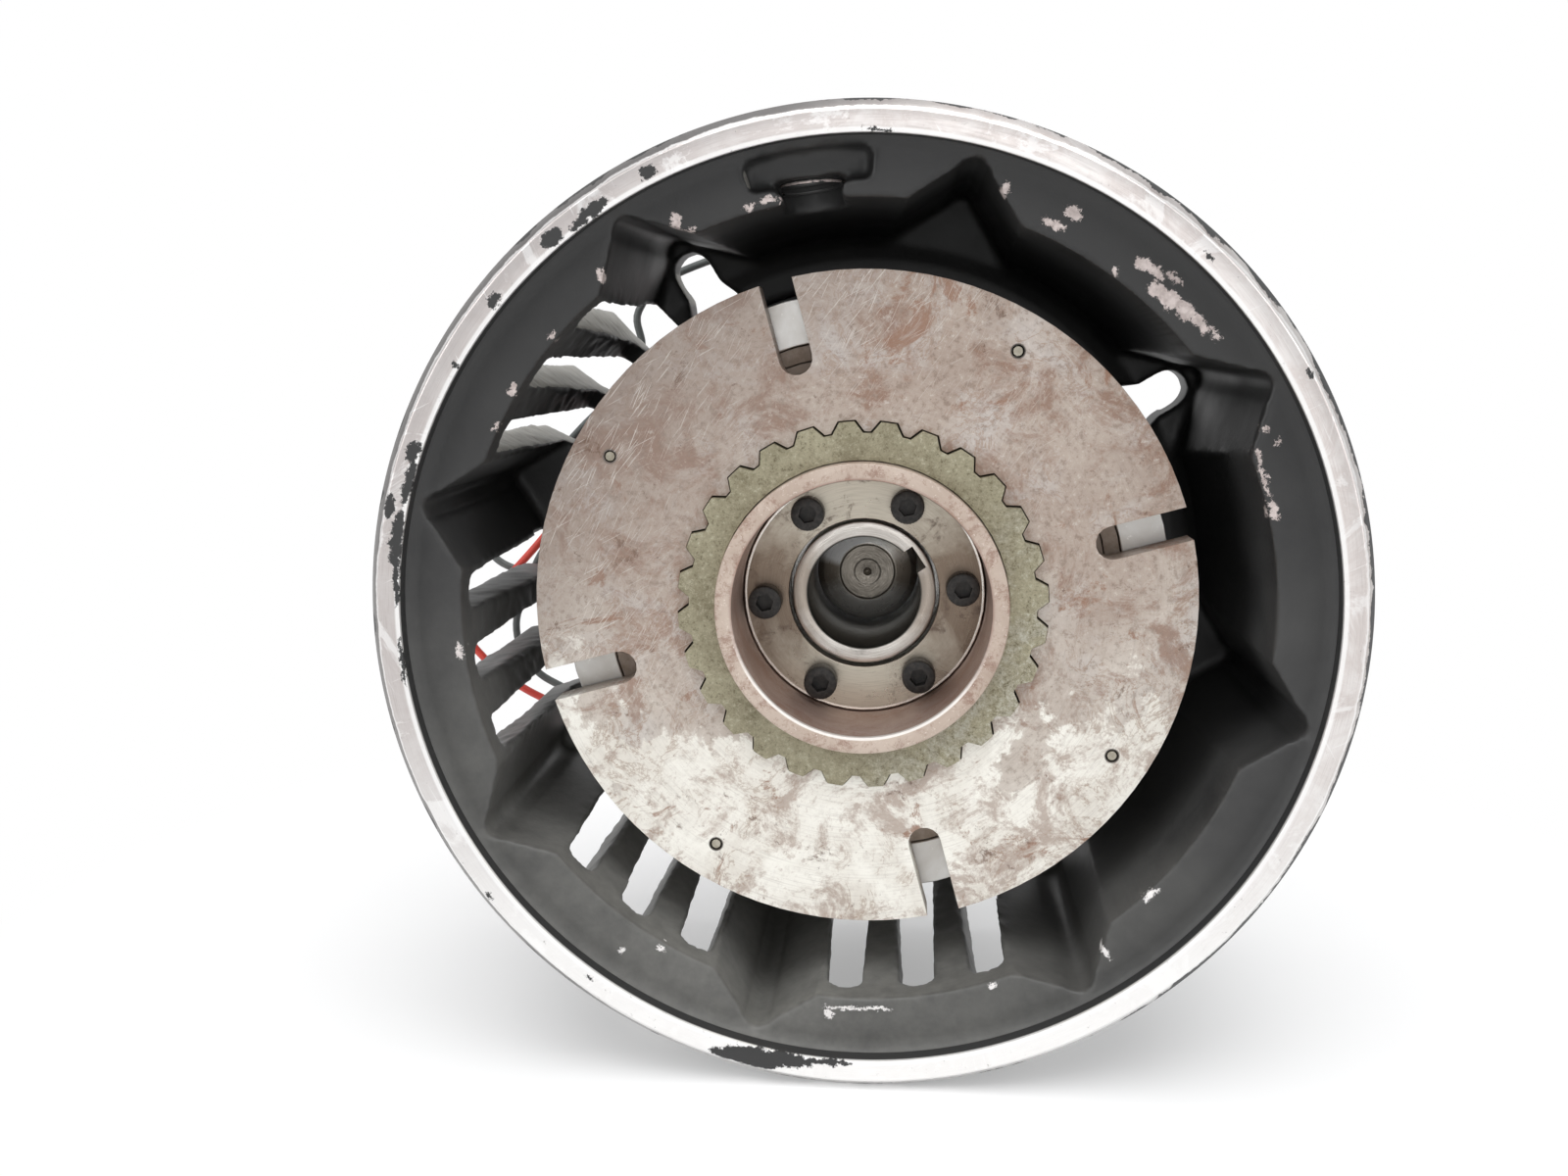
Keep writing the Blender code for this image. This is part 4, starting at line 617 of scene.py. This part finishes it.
def cover_steel():
    """The bearing cover: turned, with painted reflections (brown beside the axis, bright above and below it), stains,
    and a painted highlight on its edge.
    """
    look = Look("stained_steel")
    cloud = look.noise(70.0, 7.0, 0.68, warp=0.8)
    fleck = look.noise(640.0, 5.0, 0.75)
    ring = look.noise(1.0, 2.0, 0.5, look.round_grain(3600.0, 4.0))
    # Brown beside the axis and bright above and below it: painted reflection of the turned face
    metal = look.mix(look.span(look.upright(cloud, 1.3), 0.30, 0.90), (0.185, 0.140, 0.105), (0.53, 0.485, 0.405))
    metal = look.mix(look.math("MULTIPLY", look.span(ring, 0.45, 0.70), 0.3), metal, (0.27, 0.225, 0.18))
    smear = look.math("ADD", look.noise(130.0, 8.0, 0.78, warp=0.6),
                      look.math("MULTIPLY", look.math("SUBTRACT", fleck, 0.5), 0.3))
    stain = look.span(smear, 0.56, 0.66)
    metal = look.mix(look.math("MULTIPLY", stain, 0.7), metal, (0.095, 0.058, 0.038))
    # A bright ring at the edge: painted highlight
    rim = look.span(look.radius, CARRIER_BORE - 0.0012, CARRIER_BORE - 0.0010)
    metal = look.mix(rim, metal, (0.90, 0.87, 0.81))
    rough = look.blend(rim, look.span(cloud, 0.3, 0.7, 0.24, 0.38), 0.2)
    look.spun(0.6)
    return look.finish(metal, rough, look.span(stain, 0.0, 1.0, 0.85, 0.3), look.bump(ring, 0.1, 0.0002))


def shaft_steel():
    """The stub shaft: a dull turned end inside a chamfer with painted reflections and a painted highlight."""
    look = Look("shaft_steel")
    ring = look.noise(1.0, 2.0, 0.5, look.round_grain(4200.0, 3.0))
    cloud = look.noise(120.0, 6.0, 0.65, warp=0.5)
    end = look.mix(look.span(ring, 0.35, 0.7), (0.27, 0.245, 0.21), (0.17, 0.15, 0.125))
    # Chamfer bright above and below the axis: painted reflection
    side = look.mix(look.span(look.upright(cloud, 0.8), 0.25, 0.75), (0.40, 0.345, 0.29), (0.86, 0.85, 0.82))
    # A white patch on the chamfer towards the upper left: painted highlight
    off = look.math("ABSOLUTE", look.math("SUBTRACT", look.angle, math.radians(128.0)))
    crescent_highlight = look.span(off, 0.75, 0.55)
    side = look.mix(crescent_highlight, side, (0.97, 0.965, 0.95))
    chamfer = look.span(look.radius, SHAFT_NOSE + 0.0002, SHAFT_NOSE + 0.0005)
    colour = look.mix(chamfer, end, side)
    metallic = look.span(look.math("MULTIPLY", chamfer, crescent_highlight), 0.0, 1.0, 0.8, 0.1)
    look.spun(0.6)
    return look.finish(colour, look.span(ring, 0.3, 0.7, 0.26, 0.36), metallic, look.bump(ring, 0.12, 0.0002))


def plated():
    """Olive passivated plating, matt and grainy, with dark flecks."""
    look = Look("olive_plate")
    grain = look.noise(900.0, 8.0, 0.85)
    cloud = look.noise(90.0, 7.0, 0.7, warp=0.5)
    colour = look.mix(look.span(cloud, 0.38, 0.64), (0.345, 0.318, 0.220), (0.240, 0.215, 0.140))
    colour = look.mix(look.span(grain, 0.53, 0.66), colour, (0.51, 0.485, 0.375))
    colour = look.mix(look.span(grain, 0.47, 0.36), colour, (0.115, 0.095, 0.055))
    right = look.span(look.math("SUBTRACT", look.x, look.math("MULTIPLY", look.z, 0.5)), 0.015, 0.055)
    rubbed = look.math("MULTIPLY", right, look.span(look.math("ADD", cloud, grain), 0.95, 1.15))
    colour = look.mix(look.math("MULTIPLY", rubbed, 0.7), colour, (0.60, 0.59, 0.53))
    return look.finish(colour, look.span(grain, 0.3, 0.7, 0.52, 0.74), 0.45, look.bump(grain, 0.55, 0.0003))


def black_oxide():
    look = Look("black_oxide")
    grain = look.noise(900.0, 4.0, 0.6)
    colour = look.mix(look.span(grain, 0.4, 0.7), (0.022, 0.021, 0.02), (0.055, 0.05, 0.046))
    return look.finish(colour, look.span(grain, 0.3, 0.7, 0.34, 0.5), 0.55, look.bump(grain, 0.15, 0.0002))


def plain(name, colour, other, scale, roughness, metallic=0.0, depth=0.0002):
    """A quiet material with slight mottling, for rubber, resin and wire insulation."""
    look = Look(name)
    cloud = look.noise(scale, 4.0, 0.6)
    tone = look.mix(look.span(cloud, 0.35, 0.65), colour, other)
    return look.finish(tone, look.span(cloud, 0.3, 0.7, roughness - 0.05, roughness + 0.08), metallic,
                       look.bump(cloud, 0.15, depth))


def wear(obj, material):
    obj.data.materials.clear()
    obj.data.materials.append(material)
    return obj


CAST = cast_paint()
RIM = rim_metal()
DISC = disc_steel()
COLLAR = collar_steel()
ROTOR = rotor_steel((0.64, 0.63, 0.61), (0.54, 0.515, 0.48), (0.30, 0.20, 0.14), -0.06, 0.28)
COVER = cover_steel()
# The sleeve's colour beside the axis is a painted reflection, and its bore wall gets painted shade
SLEEVE = turned_steel("sleeve_steel", (0.68, 0.65, 0.61), (0.52, 0.48, 0.44), 0.26,
                      beside=(0.36, 0.31, 0.265), bore=SLEEVE_BORE)
SHAFT = shaft_steel()
RACE = turned_steel("race_steel", (0.66, 0.65, 0.63), (0.52, 0.51, 0.49), 0.2)
DARK = turned_steel("dark_steel", (0.19, 0.17, 0.15), (0.11, 0.10, 0.085), 0.4, 3000.0)
OLIVE = plated()
OXIDE = black_oxide()
RUBBER = plain("black_rubber", (0.018, 0.018, 0.018), (0.032, 0.031, 0.03), 400.0, 0.75)
RESIN = plain("coil_resin", (0.05, 0.03, 0.02), (0.08, 0.05, 0.035), 200.0, 0.5)
FACING = plain("friction_facing", (0.36, 0.295, 0.245), (0.26, 0.205, 0.165), 500.0, 0.85)
RED = plain("red_insulation", (0.62, 0.055, 0.035), (0.52, 0.04, 0.028), 160.0, 0.42)
GREY = plain("grey_insulation", (0.105, 0.115, 0.11), (0.075, 0.082, 0.08), 160.0, 0.42)
PIN = plain("pin_steel", (0.44, 0.41, 0.34), (0.30, 0.27, 0.21), 500.0, 0.5, 0.6)
COPPER = plain("copper_strand", (0.62, 0.27, 0.13), (0.45, 0.19, 0.09), 900.0, 0.35, 0.9)


# Housing: the casting, with its cast edges rounded, and the machined rim band on it

def cast_body():
    """The CAD housing remeshed as a casting: soft edges, round walls, slightly uneven skin."""
    obj = bpy.data.objects.new("housing_cast", nodes["housing"].data.copy())
    bpy.context.scene.collection.objects.link(obj)
    band = turned("rim_cutter", [
        (REGISTER_RADIUS - 0.0010, -0.01), (RIM_RADIUS + 0.01, -0.01),
        (RIM_RADIUS + 0.01, RIM_BAND - 0.0006), (REGISTER_RADIUS - 0.0010, RIM_BAND - 0.0006),
    ], 144, 0.0)
    weld = obj.modifiers.new("Weld", "WELD")
    weld.merge_threshold = 0.000002
    cut(obj, band)
    remesh = obj.modifiers.new("Skin", "REMESH")
    remesh.mode = "VOXEL"
    remesh.voxel_size = CAST_GRAIN
    baked(obj)
    count = len(obj.data.vertices)
    points = np.empty(count * 3)
    obj.data.vertices.foreach_get("co", points)
    points = points.reshape(-1, 3)
    radius = np.hypot(points[:, 0], points[:, 2])
    depth = points[:, 1] - RIM_Y
    bell = BELL_FRONT_RADIUS + (depth - REGISTER_DEPTH) / (BELL_STRAIGHT - REGISTER_DEPTH) * (
        BELL_REAR_RADIUS - BELL_FRONT_RADIUS)
    snapped = radius.copy()
    for wall in (np.full(count, REGISTER_RADIUS), np.full(count, RIM_RADIUS),
                 np.full(count, WALL_RADIUS), bell):
        near = np.abs(radius - wall) < 0.0004
        snapped[near] = wall[near]
    points[:, 0] *= snapped / radius.clip(1e-6)
    points[:, 2] *= snapped / radius.clip(1e-6)
    # The vents are rough-cut, so their sides wander
    noise.seed_set(1)
    in_wall = (radius > BELL_REAR_RADIUS - 0.002) & (radius < WALL_RADIUS + 0.0012)
    degrees = np.degrees(np.arctan2(points[:, 2], points[:, 0])) % 360.0
    in_bay = np.zeros(count, bool)
    for bay in VENT_BAYS:
        in_bay |= np.abs(degrees - bay) < VENT_BAY_HALF
    for index in np.nonzero(in_wall & in_bay & (depth > VENT_FRONT) & (depth < VENT_REAR))[0]:
        point = Vector(points[index])
        push = noise.noise_vector(point * 260.0) * 0.00035 + noise.noise_vector(point * 700.0) * 0.0002
        points[index] += (push.x, push.y * 0.5, push.z)
    obj.data.vertices.foreach_set("co", points.ravel())
    smooth = obj.modifiers.new("Soft edges", "SMOOTH")
    smooth.factor = 0.5
    smooth.iterations = 3
    thin = obj.modifiers.new("Thin", "DECIMATE")
    thin.ratio = 0.45
    baked(obj)
    obj.data.shade_smooth()
    return wear(obj, CAST)


housing_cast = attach(cast_body(), "housing")
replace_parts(housing_cast, "housing")

rim_band = turned("rim_band", [
    (REGISTER_RADIUS, 0.0), (RIM_FACE_RADIUS, 0.0), (RIM_RADIUS, RIM_BEVEL),
    (RIM_RADIUS, RIM_BAND), (REGISTER_RADIUS, RIM_BAND),
], 288, 0.00035)
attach(wear(rim_band, RIM), "housing")

# Conduit thread, in the open entry at the top
CONDUIT_DEPTH = 0.021
CONDUIT_HOLE_RADIUS = 0.0072
THREAD_PITCH = 0.0018


def conduit_thread():
    """A helix lying on the wall of the conduit hole."""
    curve = bpy.data.curves.new("conduit_thread", "CURVE")
    curve.dimensions = "3D"
    curve.bevel_depth = 0.00042
    curve.bevel_resolution = 1
    turns = 7
    count = turns * 20
    spline = curve.splines.new("POLY")
    spline.points.add(count)
    out = Vector((math.cos(math.radians(CONDUIT_ANGLE)), 0.0, math.sin(math.radians(CONDUIT_ANGLE))))
    side = Vector((-out.z, 0.0, out.x))
    for index, point in enumerate(spline.points):
        turn = 2 * math.pi * index / 20
        reach = 0.0985 + THREAD_PITCH * index / 20
        spot = out * reach + side * (CONDUIT_HOLE_RADIUS * math.cos(turn))
        spot += Vector((0.0, RIM_Y + CONDUIT_DEPTH + CONDUIT_HOLE_RADIUS * math.sin(turn), 0.0))
        point.co = (*spot, 1.0)
    obj = bpy.data.objects.new("conduit_thread", curve)
    bpy.context.scene.collection.objects.link(obj)
    return obj


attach(wear(conduit_thread(), CAST), "housing")

# Clutch stack: CAD nodes whose shape is right, with their edges broken
for node, width, material in (
    ("rear_wall", 0.0005, CAST),
    ("armature_disc", 0.00035, DISC),
    ("splined_hub", 0.00045, OLIVE),
    ("bearing_cover", 0.0007, COVER),
    ("rotor", 0.0003, ROTOR),
    ("friction_facing", 0.0002, FACING),
    ("field_shell", 0.0003, DARK),
    ("field_coil", 0.0003, RESIN),
    ("lead_grommet", 0.0004, RUBBER),
    ("sleeve_key", 0.0002, SLEEVE),
    ("shaft_key", 0.0003, SLEEVE),
    ("rear_snap_ring", 0.0002, DARK),
    ("sleeve_snap_ring", 0.0002, DARK),
    ("hub_snap_ring", 0.0002, DARK),
    ("rear_bearing_outer", 0.0003, RACE),
    ("rear_bearing_inner", 0.0003, RACE),
    ("hub_bearing_outer", 0.0003, RACE),
    ("hub_bearing_inner", 0.0003, RACE),
):
    wear(soften(node, width), material)
for node in ("rear_bearing_balls", "hub_bearing_balls"):
    shaded(wear(nodes[node], RACE).data)
for number in range(1, 5):
    wear(soften(f"armature_pin_{number}", 0.0002), PIN)

# Carrier: the collar that stands in front of the hub, turned fine
CARRIER_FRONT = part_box("hub_carrier")[0].y - RIM_Y
CARRIER_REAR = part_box("hub_carrier")[1].y - RIM_Y
CARRIER_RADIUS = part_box("hub_carrier")[1].x
CARRIER_WEB_BORE = 0.0203
COVER_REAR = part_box("bearing_cover")[1].y - RIM_Y
BEARING_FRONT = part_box("hub_bearing_outer")[0].y - RIM_Y
carrier = turned("collar", [
    (CARRIER_RADIUS, CARRIER_FRONT), (CARRIER_RADIUS, CARRIER_REAR), (CARRIER_BORE + 0.0003, CARRIER_REAR),
    (CARRIER_BORE + 0.0003, BEARING_FRONT - 0.0003), (CARRIER_WEB_BORE, BEARING_FRONT - 0.0003),
    (CARRIER_WEB_BORE, COVER_REAR + 0.0003), (CARRIER_BORE, COVER_REAR + 0.0003), (CARRIER_BORE, CARRIER_FRONT),
], 160, 0.0006)
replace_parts(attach(wear(carrier, COLLAR), "hub"), "hub_carrier")

# Drive sleeve with its keyway, and the shaft end deep in its bore
SLEEVE_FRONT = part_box("drive_sleeve")[0].y - RIM_Y
SLEEVE_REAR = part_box("drive_sleeve")[1].y - RIM_Y
SLEEVE_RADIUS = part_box("drive_sleeve")[1].x
SLEEVE_SEAT = 0.01748
KEY_ANGLE = 34.0
KEY_WIDTH = 0.00635
KEYWAY_TOP = 0.01678


def key_cutter(inner, outer, front, rear):
    turn = math.radians(KEY_ANGLE)
    outline = []
    for reach, side in ((inner, -1), (outer, -1), (outer, 1), (inner, 1)):
        across = side * KEY_WIDTH / 2
        outline.append((reach * math.cos(turn) - across * math.sin(turn),
                        reach * math.sin(turn) + across * math.cos(turn)))
    return prism("key_cutter", outline, front, rear)


sleeve = turned("keyed_sleeve", [
    (SLEEVE_RADIUS, SLEEVE_FRONT), (SLEEVE_RADIUS, BEARING_FRONT - 0.0003),
    (SLEEVE_SEAT, BEARING_FRONT - 0.0003), (SLEEVE_SEAT, SLEEVE_REAR),
    (SLEEVE_BORE, SLEEVE_REAR), (SLEEVE_BORE, SLEEVE_FRONT),
], 128, 0.0005)
cut(sleeve, key_cutter(0.002, KEYWAY_TOP, SLEEVE_FRONT - 0.002, SLEEVE_REAR + 0.002))
shaded(sleeve.data)
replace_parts(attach(wear(sleeve, SLEEVE), "rotor"), "drive_sleeve")

SHAFT_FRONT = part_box("drive_shaft")[0].y - RIM_Y
SHAFT_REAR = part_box("drive_shaft")[1].y - RIM_Y
SHAFT_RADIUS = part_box("drive_shaft")[1].x
shaft = turned("stub_shaft", [
    (0.0, SHAFT_FRONT + 0.0016), (0.0008, SHAFT_FRONT + 0.0007), (0.0010, SHAFT_FRONT + 0.0003),
    (0.0034, SHAFT_FRONT + 0.00025), (0.0038, SHAFT_FRONT + 0.0001), (0.0042, SHAFT_FRONT + 0.0001),
    (SHAFT_NOSE - 0.0003, SHAFT_FRONT), (SHAFT_NOSE, SHAFT_FRONT + 0.0002), (SHAFT_NOSE + 0.0003, SHAFT_FRONT + 0.0002),
    (SHAFT_RADIUS - 0.0017, SHAFT_FRONT + 0.0012), (SHAFT_RADIUS, SHAFT_FRONT + 0.0028),
    (SHAFT_RADIUS, SHAFT_REAR - 0.0017), (SHAFT_RADIUS - 0.0017, SHAFT_REAR),
    (0.0038, SHAFT_REAR), (0.0, SHAFT_REAR - 0.0035),
], 96, 0.0002, closed=False)
for node in ("sleeve_key", "shaft_key"):
    low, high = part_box(node)
    cut(shaft, key_cutter(0.0105, 0.02, low.y - RIM_Y - 0.0003, high.y - RIM_Y + 0.0003))
shaded(shaft.data)
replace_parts(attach(wear(shaft, SHAFT), "rotor"), "drive_shaft")


# Socket head screws, knurled, in the places of the CAD ones

def socket_screw(node, name, body, rearward):
    low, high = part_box(node)
    centre = ((low.x + high.x) / 2, (low.z + high.z) / 2)
    head_radius = (high.x - low.x) / 2
    front, rear = low.y - RIM_Y, high.y - RIM_Y
    top, tip, way = (rear, front, -1.0) if rearward else (front, rear, 1.0)
    head = head_radius * 1.18
    shank = head_radius * 0.49
    ease = head_radius * 0.11
    shape = bmesh.new()
    lathe(shape, [
        (0.0, top), (head_radius - ease, top), (head_radius - ease * 0.35, top + way * ease * 0.3),
        (head_radius, top + way * ease), (head_radius, top + way * (head - ease * 0.4)),
        (head_radius - ease * 0.4, top + way * head), (shank, top + way * head),
        (shank, tip - way * 0.0005), (shank - 0.0005, tip), (0.0, tip),
    ], 64, centre, closed=False)
    for vert in shape.verts:
        away = Vector((vert.co.x - centre[0], 0.0, vert.co.z - centre[1]))
        depth = (vert.co.y - RIM_Y - top) * way
        if away.length > head_radius * 0.97 and ease < depth < head:
            step = round(math.atan2(away.z, away.x) / (2 * math.pi) * 64)
            if step % 2:
                vert.co -= away * 0.03
    obj = piece(name, shape, 40.0)
    socket = [(centre[0] + head_radius * 0.55 * math.cos(math.radians(60 * side + 12)),
               centre[1] + head_radius * 0.55 * math.sin(math.radians(60 * side + 12))) for side in range(6)]
    depths = sorted((top - way * 0.002, top + way * head * 0.6))
    cut(obj, prism("socket", socket, *depths))
    shaded(obj.data, 40.0)
    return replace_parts(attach(wear(obj, OXIDE), body), node)


for number in range(1, 7):
    socket_screw(f"cap_screw_{number}", f"cap_bolt_{number}", "hub", False)
for number in range(1, 5):
    socket_screw(f"field_screw_{number}", f"field_bolt_{number}", "housing", True)


# Field leads: the routes of the solids, as smooth insulated wire with stripped ends

GROMMET = (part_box("lead_grommet")[0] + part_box("lead_grommet")[1]) / 2
LEAD_DIAMETER = 0.0024
LEAD_OFFSET = 0.00145
LEAD_START = 0.096
GROMMET_LIP = 0.002
RED_PATH = (
    (-0.022, 0.0800, 0.114), (-0.048, 0.0660, 0.114), (-0.080, 0.0290, 0.114),
    (-0.1032, 0.0017, 0.114), (-0.1179, -0.0148, 0.114), (-0.1265, -0.0270, 0.114),
    (-0.1218, -0.0354, 0.114), (-0.1119, -0.0433, 0.114), (-0.0980, -0.0505, 0.114),
    (-0.0760, -0.0610, 0.115), (-0.0600, -0.0760, 0.116),
)
GREY_PATH = (
    (-0.026, 0.0880, 0.118), (-0.054, 0.0860, 0.119), (-0.0715, 0.0727, 0.119),
    (-0.0710, 0.0604, 0.119), (-0.0920, 0.0350, 0.119), (-0.1150, 0.0120, 0.119),
    (-0.1205, 0.0000, 0.119), (-0.1137, -0.0069, 0.119), (-0.1020, -0.0068, 0.120),
    (-0.0890, -0.0020, 0.122), (-0.0850, 0.0060, 0.124), (-0.0920, 0.0090, 0.125),
    (-0.1030, 0.0000, 0.125), (-0.1105, -0.0150, 0.125), (-0.1139, -0.0280, 0.124),
    (-0.1085, -0.0395, 0.122), (-0.0960, -0.0470, 0.120), (-0.0800, -0.0560, 0.119),
    (-0.0700, -0.0750, 0.118),
)


def wire(name, points, radius, sides):
    curve = bpy.data.curves.new(name, "CURVE")
    curve.dimensions = "3D"
    curve.bevel_depth = radius
    curve.bevel_resolution = sides
    curve.resolution_u = 8
    curve.use_fill_caps = True
    spline = curve.splines.new("BEZIER")
    spline.bezier_points.add(len(points) - 1)
    for bezier, point in zip(spline.bezier_points, points):
        bezier.co = point
        bezier.handle_left_type = "AUTO"
        bezier.handle_right_type = "AUTO"
    obj = bpy.data.objects.new(name, curve)
    bpy.context.scene.collection.objects.link(obj)
    return obj


def lead(name, node, side, path, material):
    x = GROMMET.x + side * LEAD_OFFSET
    route = [Vector((x, RIM_Y + depth, GROMMET.z))
             for depth in (LEAD_START, LENGTH, LENGTH + GROMMET_LIP * 2)]
    route += [Vector((px, RIM_Y + depth, pz)) for px, pz, depth in path]
    obj = wear(wire(name, route, LEAD_DIAMETER / 2, 3), material)
    end = (route[-1] - route[-2]).normalized()
    strand = wire(name + "_strand", [route[-1] - end * 0.002, route[-1] + end * 0.003,
                                     route[-1] + end * 0.006], LEAD_DIAMETER * 0.27, 2)
    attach(wear(strand, COPPER), "housing")
    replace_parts(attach(obj, "housing"), node)


lead("red_wire", "red_lead", -1.0, RED_PATH, RED)
lead("grey_wire", "grey_lead", 1.0, GREY_PATH, GREY)


# Stage: a pale floor that sweeps up into a backdrop, soft light and the camera

def sweep():
    """Floor and backdrop in one curved sheet."""
    shape = bmesh.new()
    line = [(-3.0, FLOOR_Z), (1.2, FLOOR_Z)]
    for step in range(1, 13):
        turn = math.radians(90.0 * step / 12)
        line.append((1.2 + 0.8 * math.sin(turn), FLOOR_Z + 0.8 - 0.8 * math.cos(turn)))
    line.append((2.0, 3.2))
    left = [shape.verts.new((-4.0, y, z)) for y, z in line]
    right = [shape.verts.new((4.0, y, z)) for y, z in line]
    for index in range(len(line) - 1):
        shape.faces.new((left[index], right[index], right[index + 1], left[index + 1]))
    obj = piece("sweep", shape)
    material = bpy.data.materials.new("pale_sweep")
    material.use_nodes = True
    tree = material.node_tree
    tree.nodes.clear()
    out = tree.nodes.new("ShaderNodeOutputMaterial")
    diffuse = tree.nodes.new("ShaderNodeBsdfDiffuse")
    diffuse.inputs["Color"].default_value = (0.9, 0.9, 0.9, 1.0)
    glow = tree.nodes.new("ShaderNodeEmission")
    glow.inputs["Strength"].default_value = 1.0
    rays = tree.nodes.new("ShaderNodeLightPath")
    seen = rays.outputs["Is Camera Ray"]
    for kind in ("Is Glossy Ray", "Is Transmission Ray"):
        either = tree.nodes.new("ShaderNodeMath")
        either.operation = "MAXIMUM"
        tree.links.new(seen, either.inputs[0])
        tree.links.new(rays.outputs[kind], either.inputs[1])
        seen = either.outputs[0]
    # The shadow shows round the object only; farther off the sheet is plain white
    place = tree.nodes.new("ShaderNodeTexCoord")
    away = tree.nodes.new("ShaderNodeVectorMath")
    away.operation = "DISTANCE"
    away.inputs[1].default_value = (0.0, 0.0, FLOOR_Z)
    tree.links.new(place.outputs["Object"], away.inputs[0])
    white = tree.nodes.new("ShaderNodeMapRange")
    white.inputs["From Min"].default_value = 0.10
    white.inputs["From Max"].default_value = 0.27
    white.inputs["To Min"].default_value = 0.32
    white.inputs["To Max"].default_value = 1.0
    tree.links.new(away.outputs["Value"], white.inputs["Value"])
    share = tree.nodes.new("ShaderNodeMath")
    share.operation = "MULTIPLY"
    tree.links.new(seen, share.inputs[0])
    tree.links.new(white.outputs[0], share.inputs[1])
    both = tree.nodes.new("ShaderNodeMixShader")
    tree.links.new(share.outputs[0], both.inputs[0])
    tree.links.new(diffuse.outputs[0], both.inputs[1])
    tree.links.new(glow.outputs[0], both.inputs[2])
    tree.links.new(both.outputs[0], out.inputs["Surface"])
    obj.data.materials.append(material)


sweep()


def softbox(name, place, aim, size, watts):
    light = bpy.data.lights.new(name, "AREA")
    light.shape = "RECTANGLE"
    light.size, light.size_y = size
    light.energy = watts
    obj = bpy.data.objects.new(name, light)
    obj.location = place
    obj.rotation_euler = (Vector(aim) - Vector(place)).to_track_quat("-Z", "Y").to_euler()
    bpy.context.scene.collection.objects.link(obj)


softbox("front_box", (0.05, -1.4, 0.22), (0.0, 0.0, 0.0), (0.4, 0.4), 1.3)
softbox("top_box", (0.1, -0.5, 1.5), (0.0, 0.0, 0.0), (1.6, 1.6), 26.0)
softbox("left_box", (-1.4, -0.9, 0.7), (0.0, 0.0, 0.0), (1.0, 1.2), 9.0)
softbox("right_box", (1.5, -0.8, 0.6), (0.0, 0.0, 0.0), (1.0, 1.2), 7.0)

world = bpy.data.worlds.new("studio")
bpy.context.scene.world = world
world.use_nodes = True
world.node_tree.nodes["Background"].inputs["Color"].default_value = (0.85, 0.86, 0.88, 1.0)
world.node_tree.nodes["Background"].inputs["Strength"].default_value = 0.50

camera_data = bpy.data.cameras.new("photo_camera")
camera_data.sensor_width = 36.0
camera_data.lens = 33.46
camera = bpy.data.objects.new("photo_camera", camera_data)
ahead = Vector((-0.0808, 0.9832, -0.1638)).normalized()
right = ahead.cross(Vector((0.0, 0.0, 1.0))).normalized()
above = right.cross(ahead)
tilt = Matrix((right, above, -ahead)).transposed().to_4x4()
camera.matrix_world = Matrix.Translation((0.0097, -0.4323, 0.0621)) @ tilt
bpy.context.scene.collection.objects.link(camera)
bpy.context.scene.camera = camera
bpy.context.scene.view_settings.view_transform = "Standard"
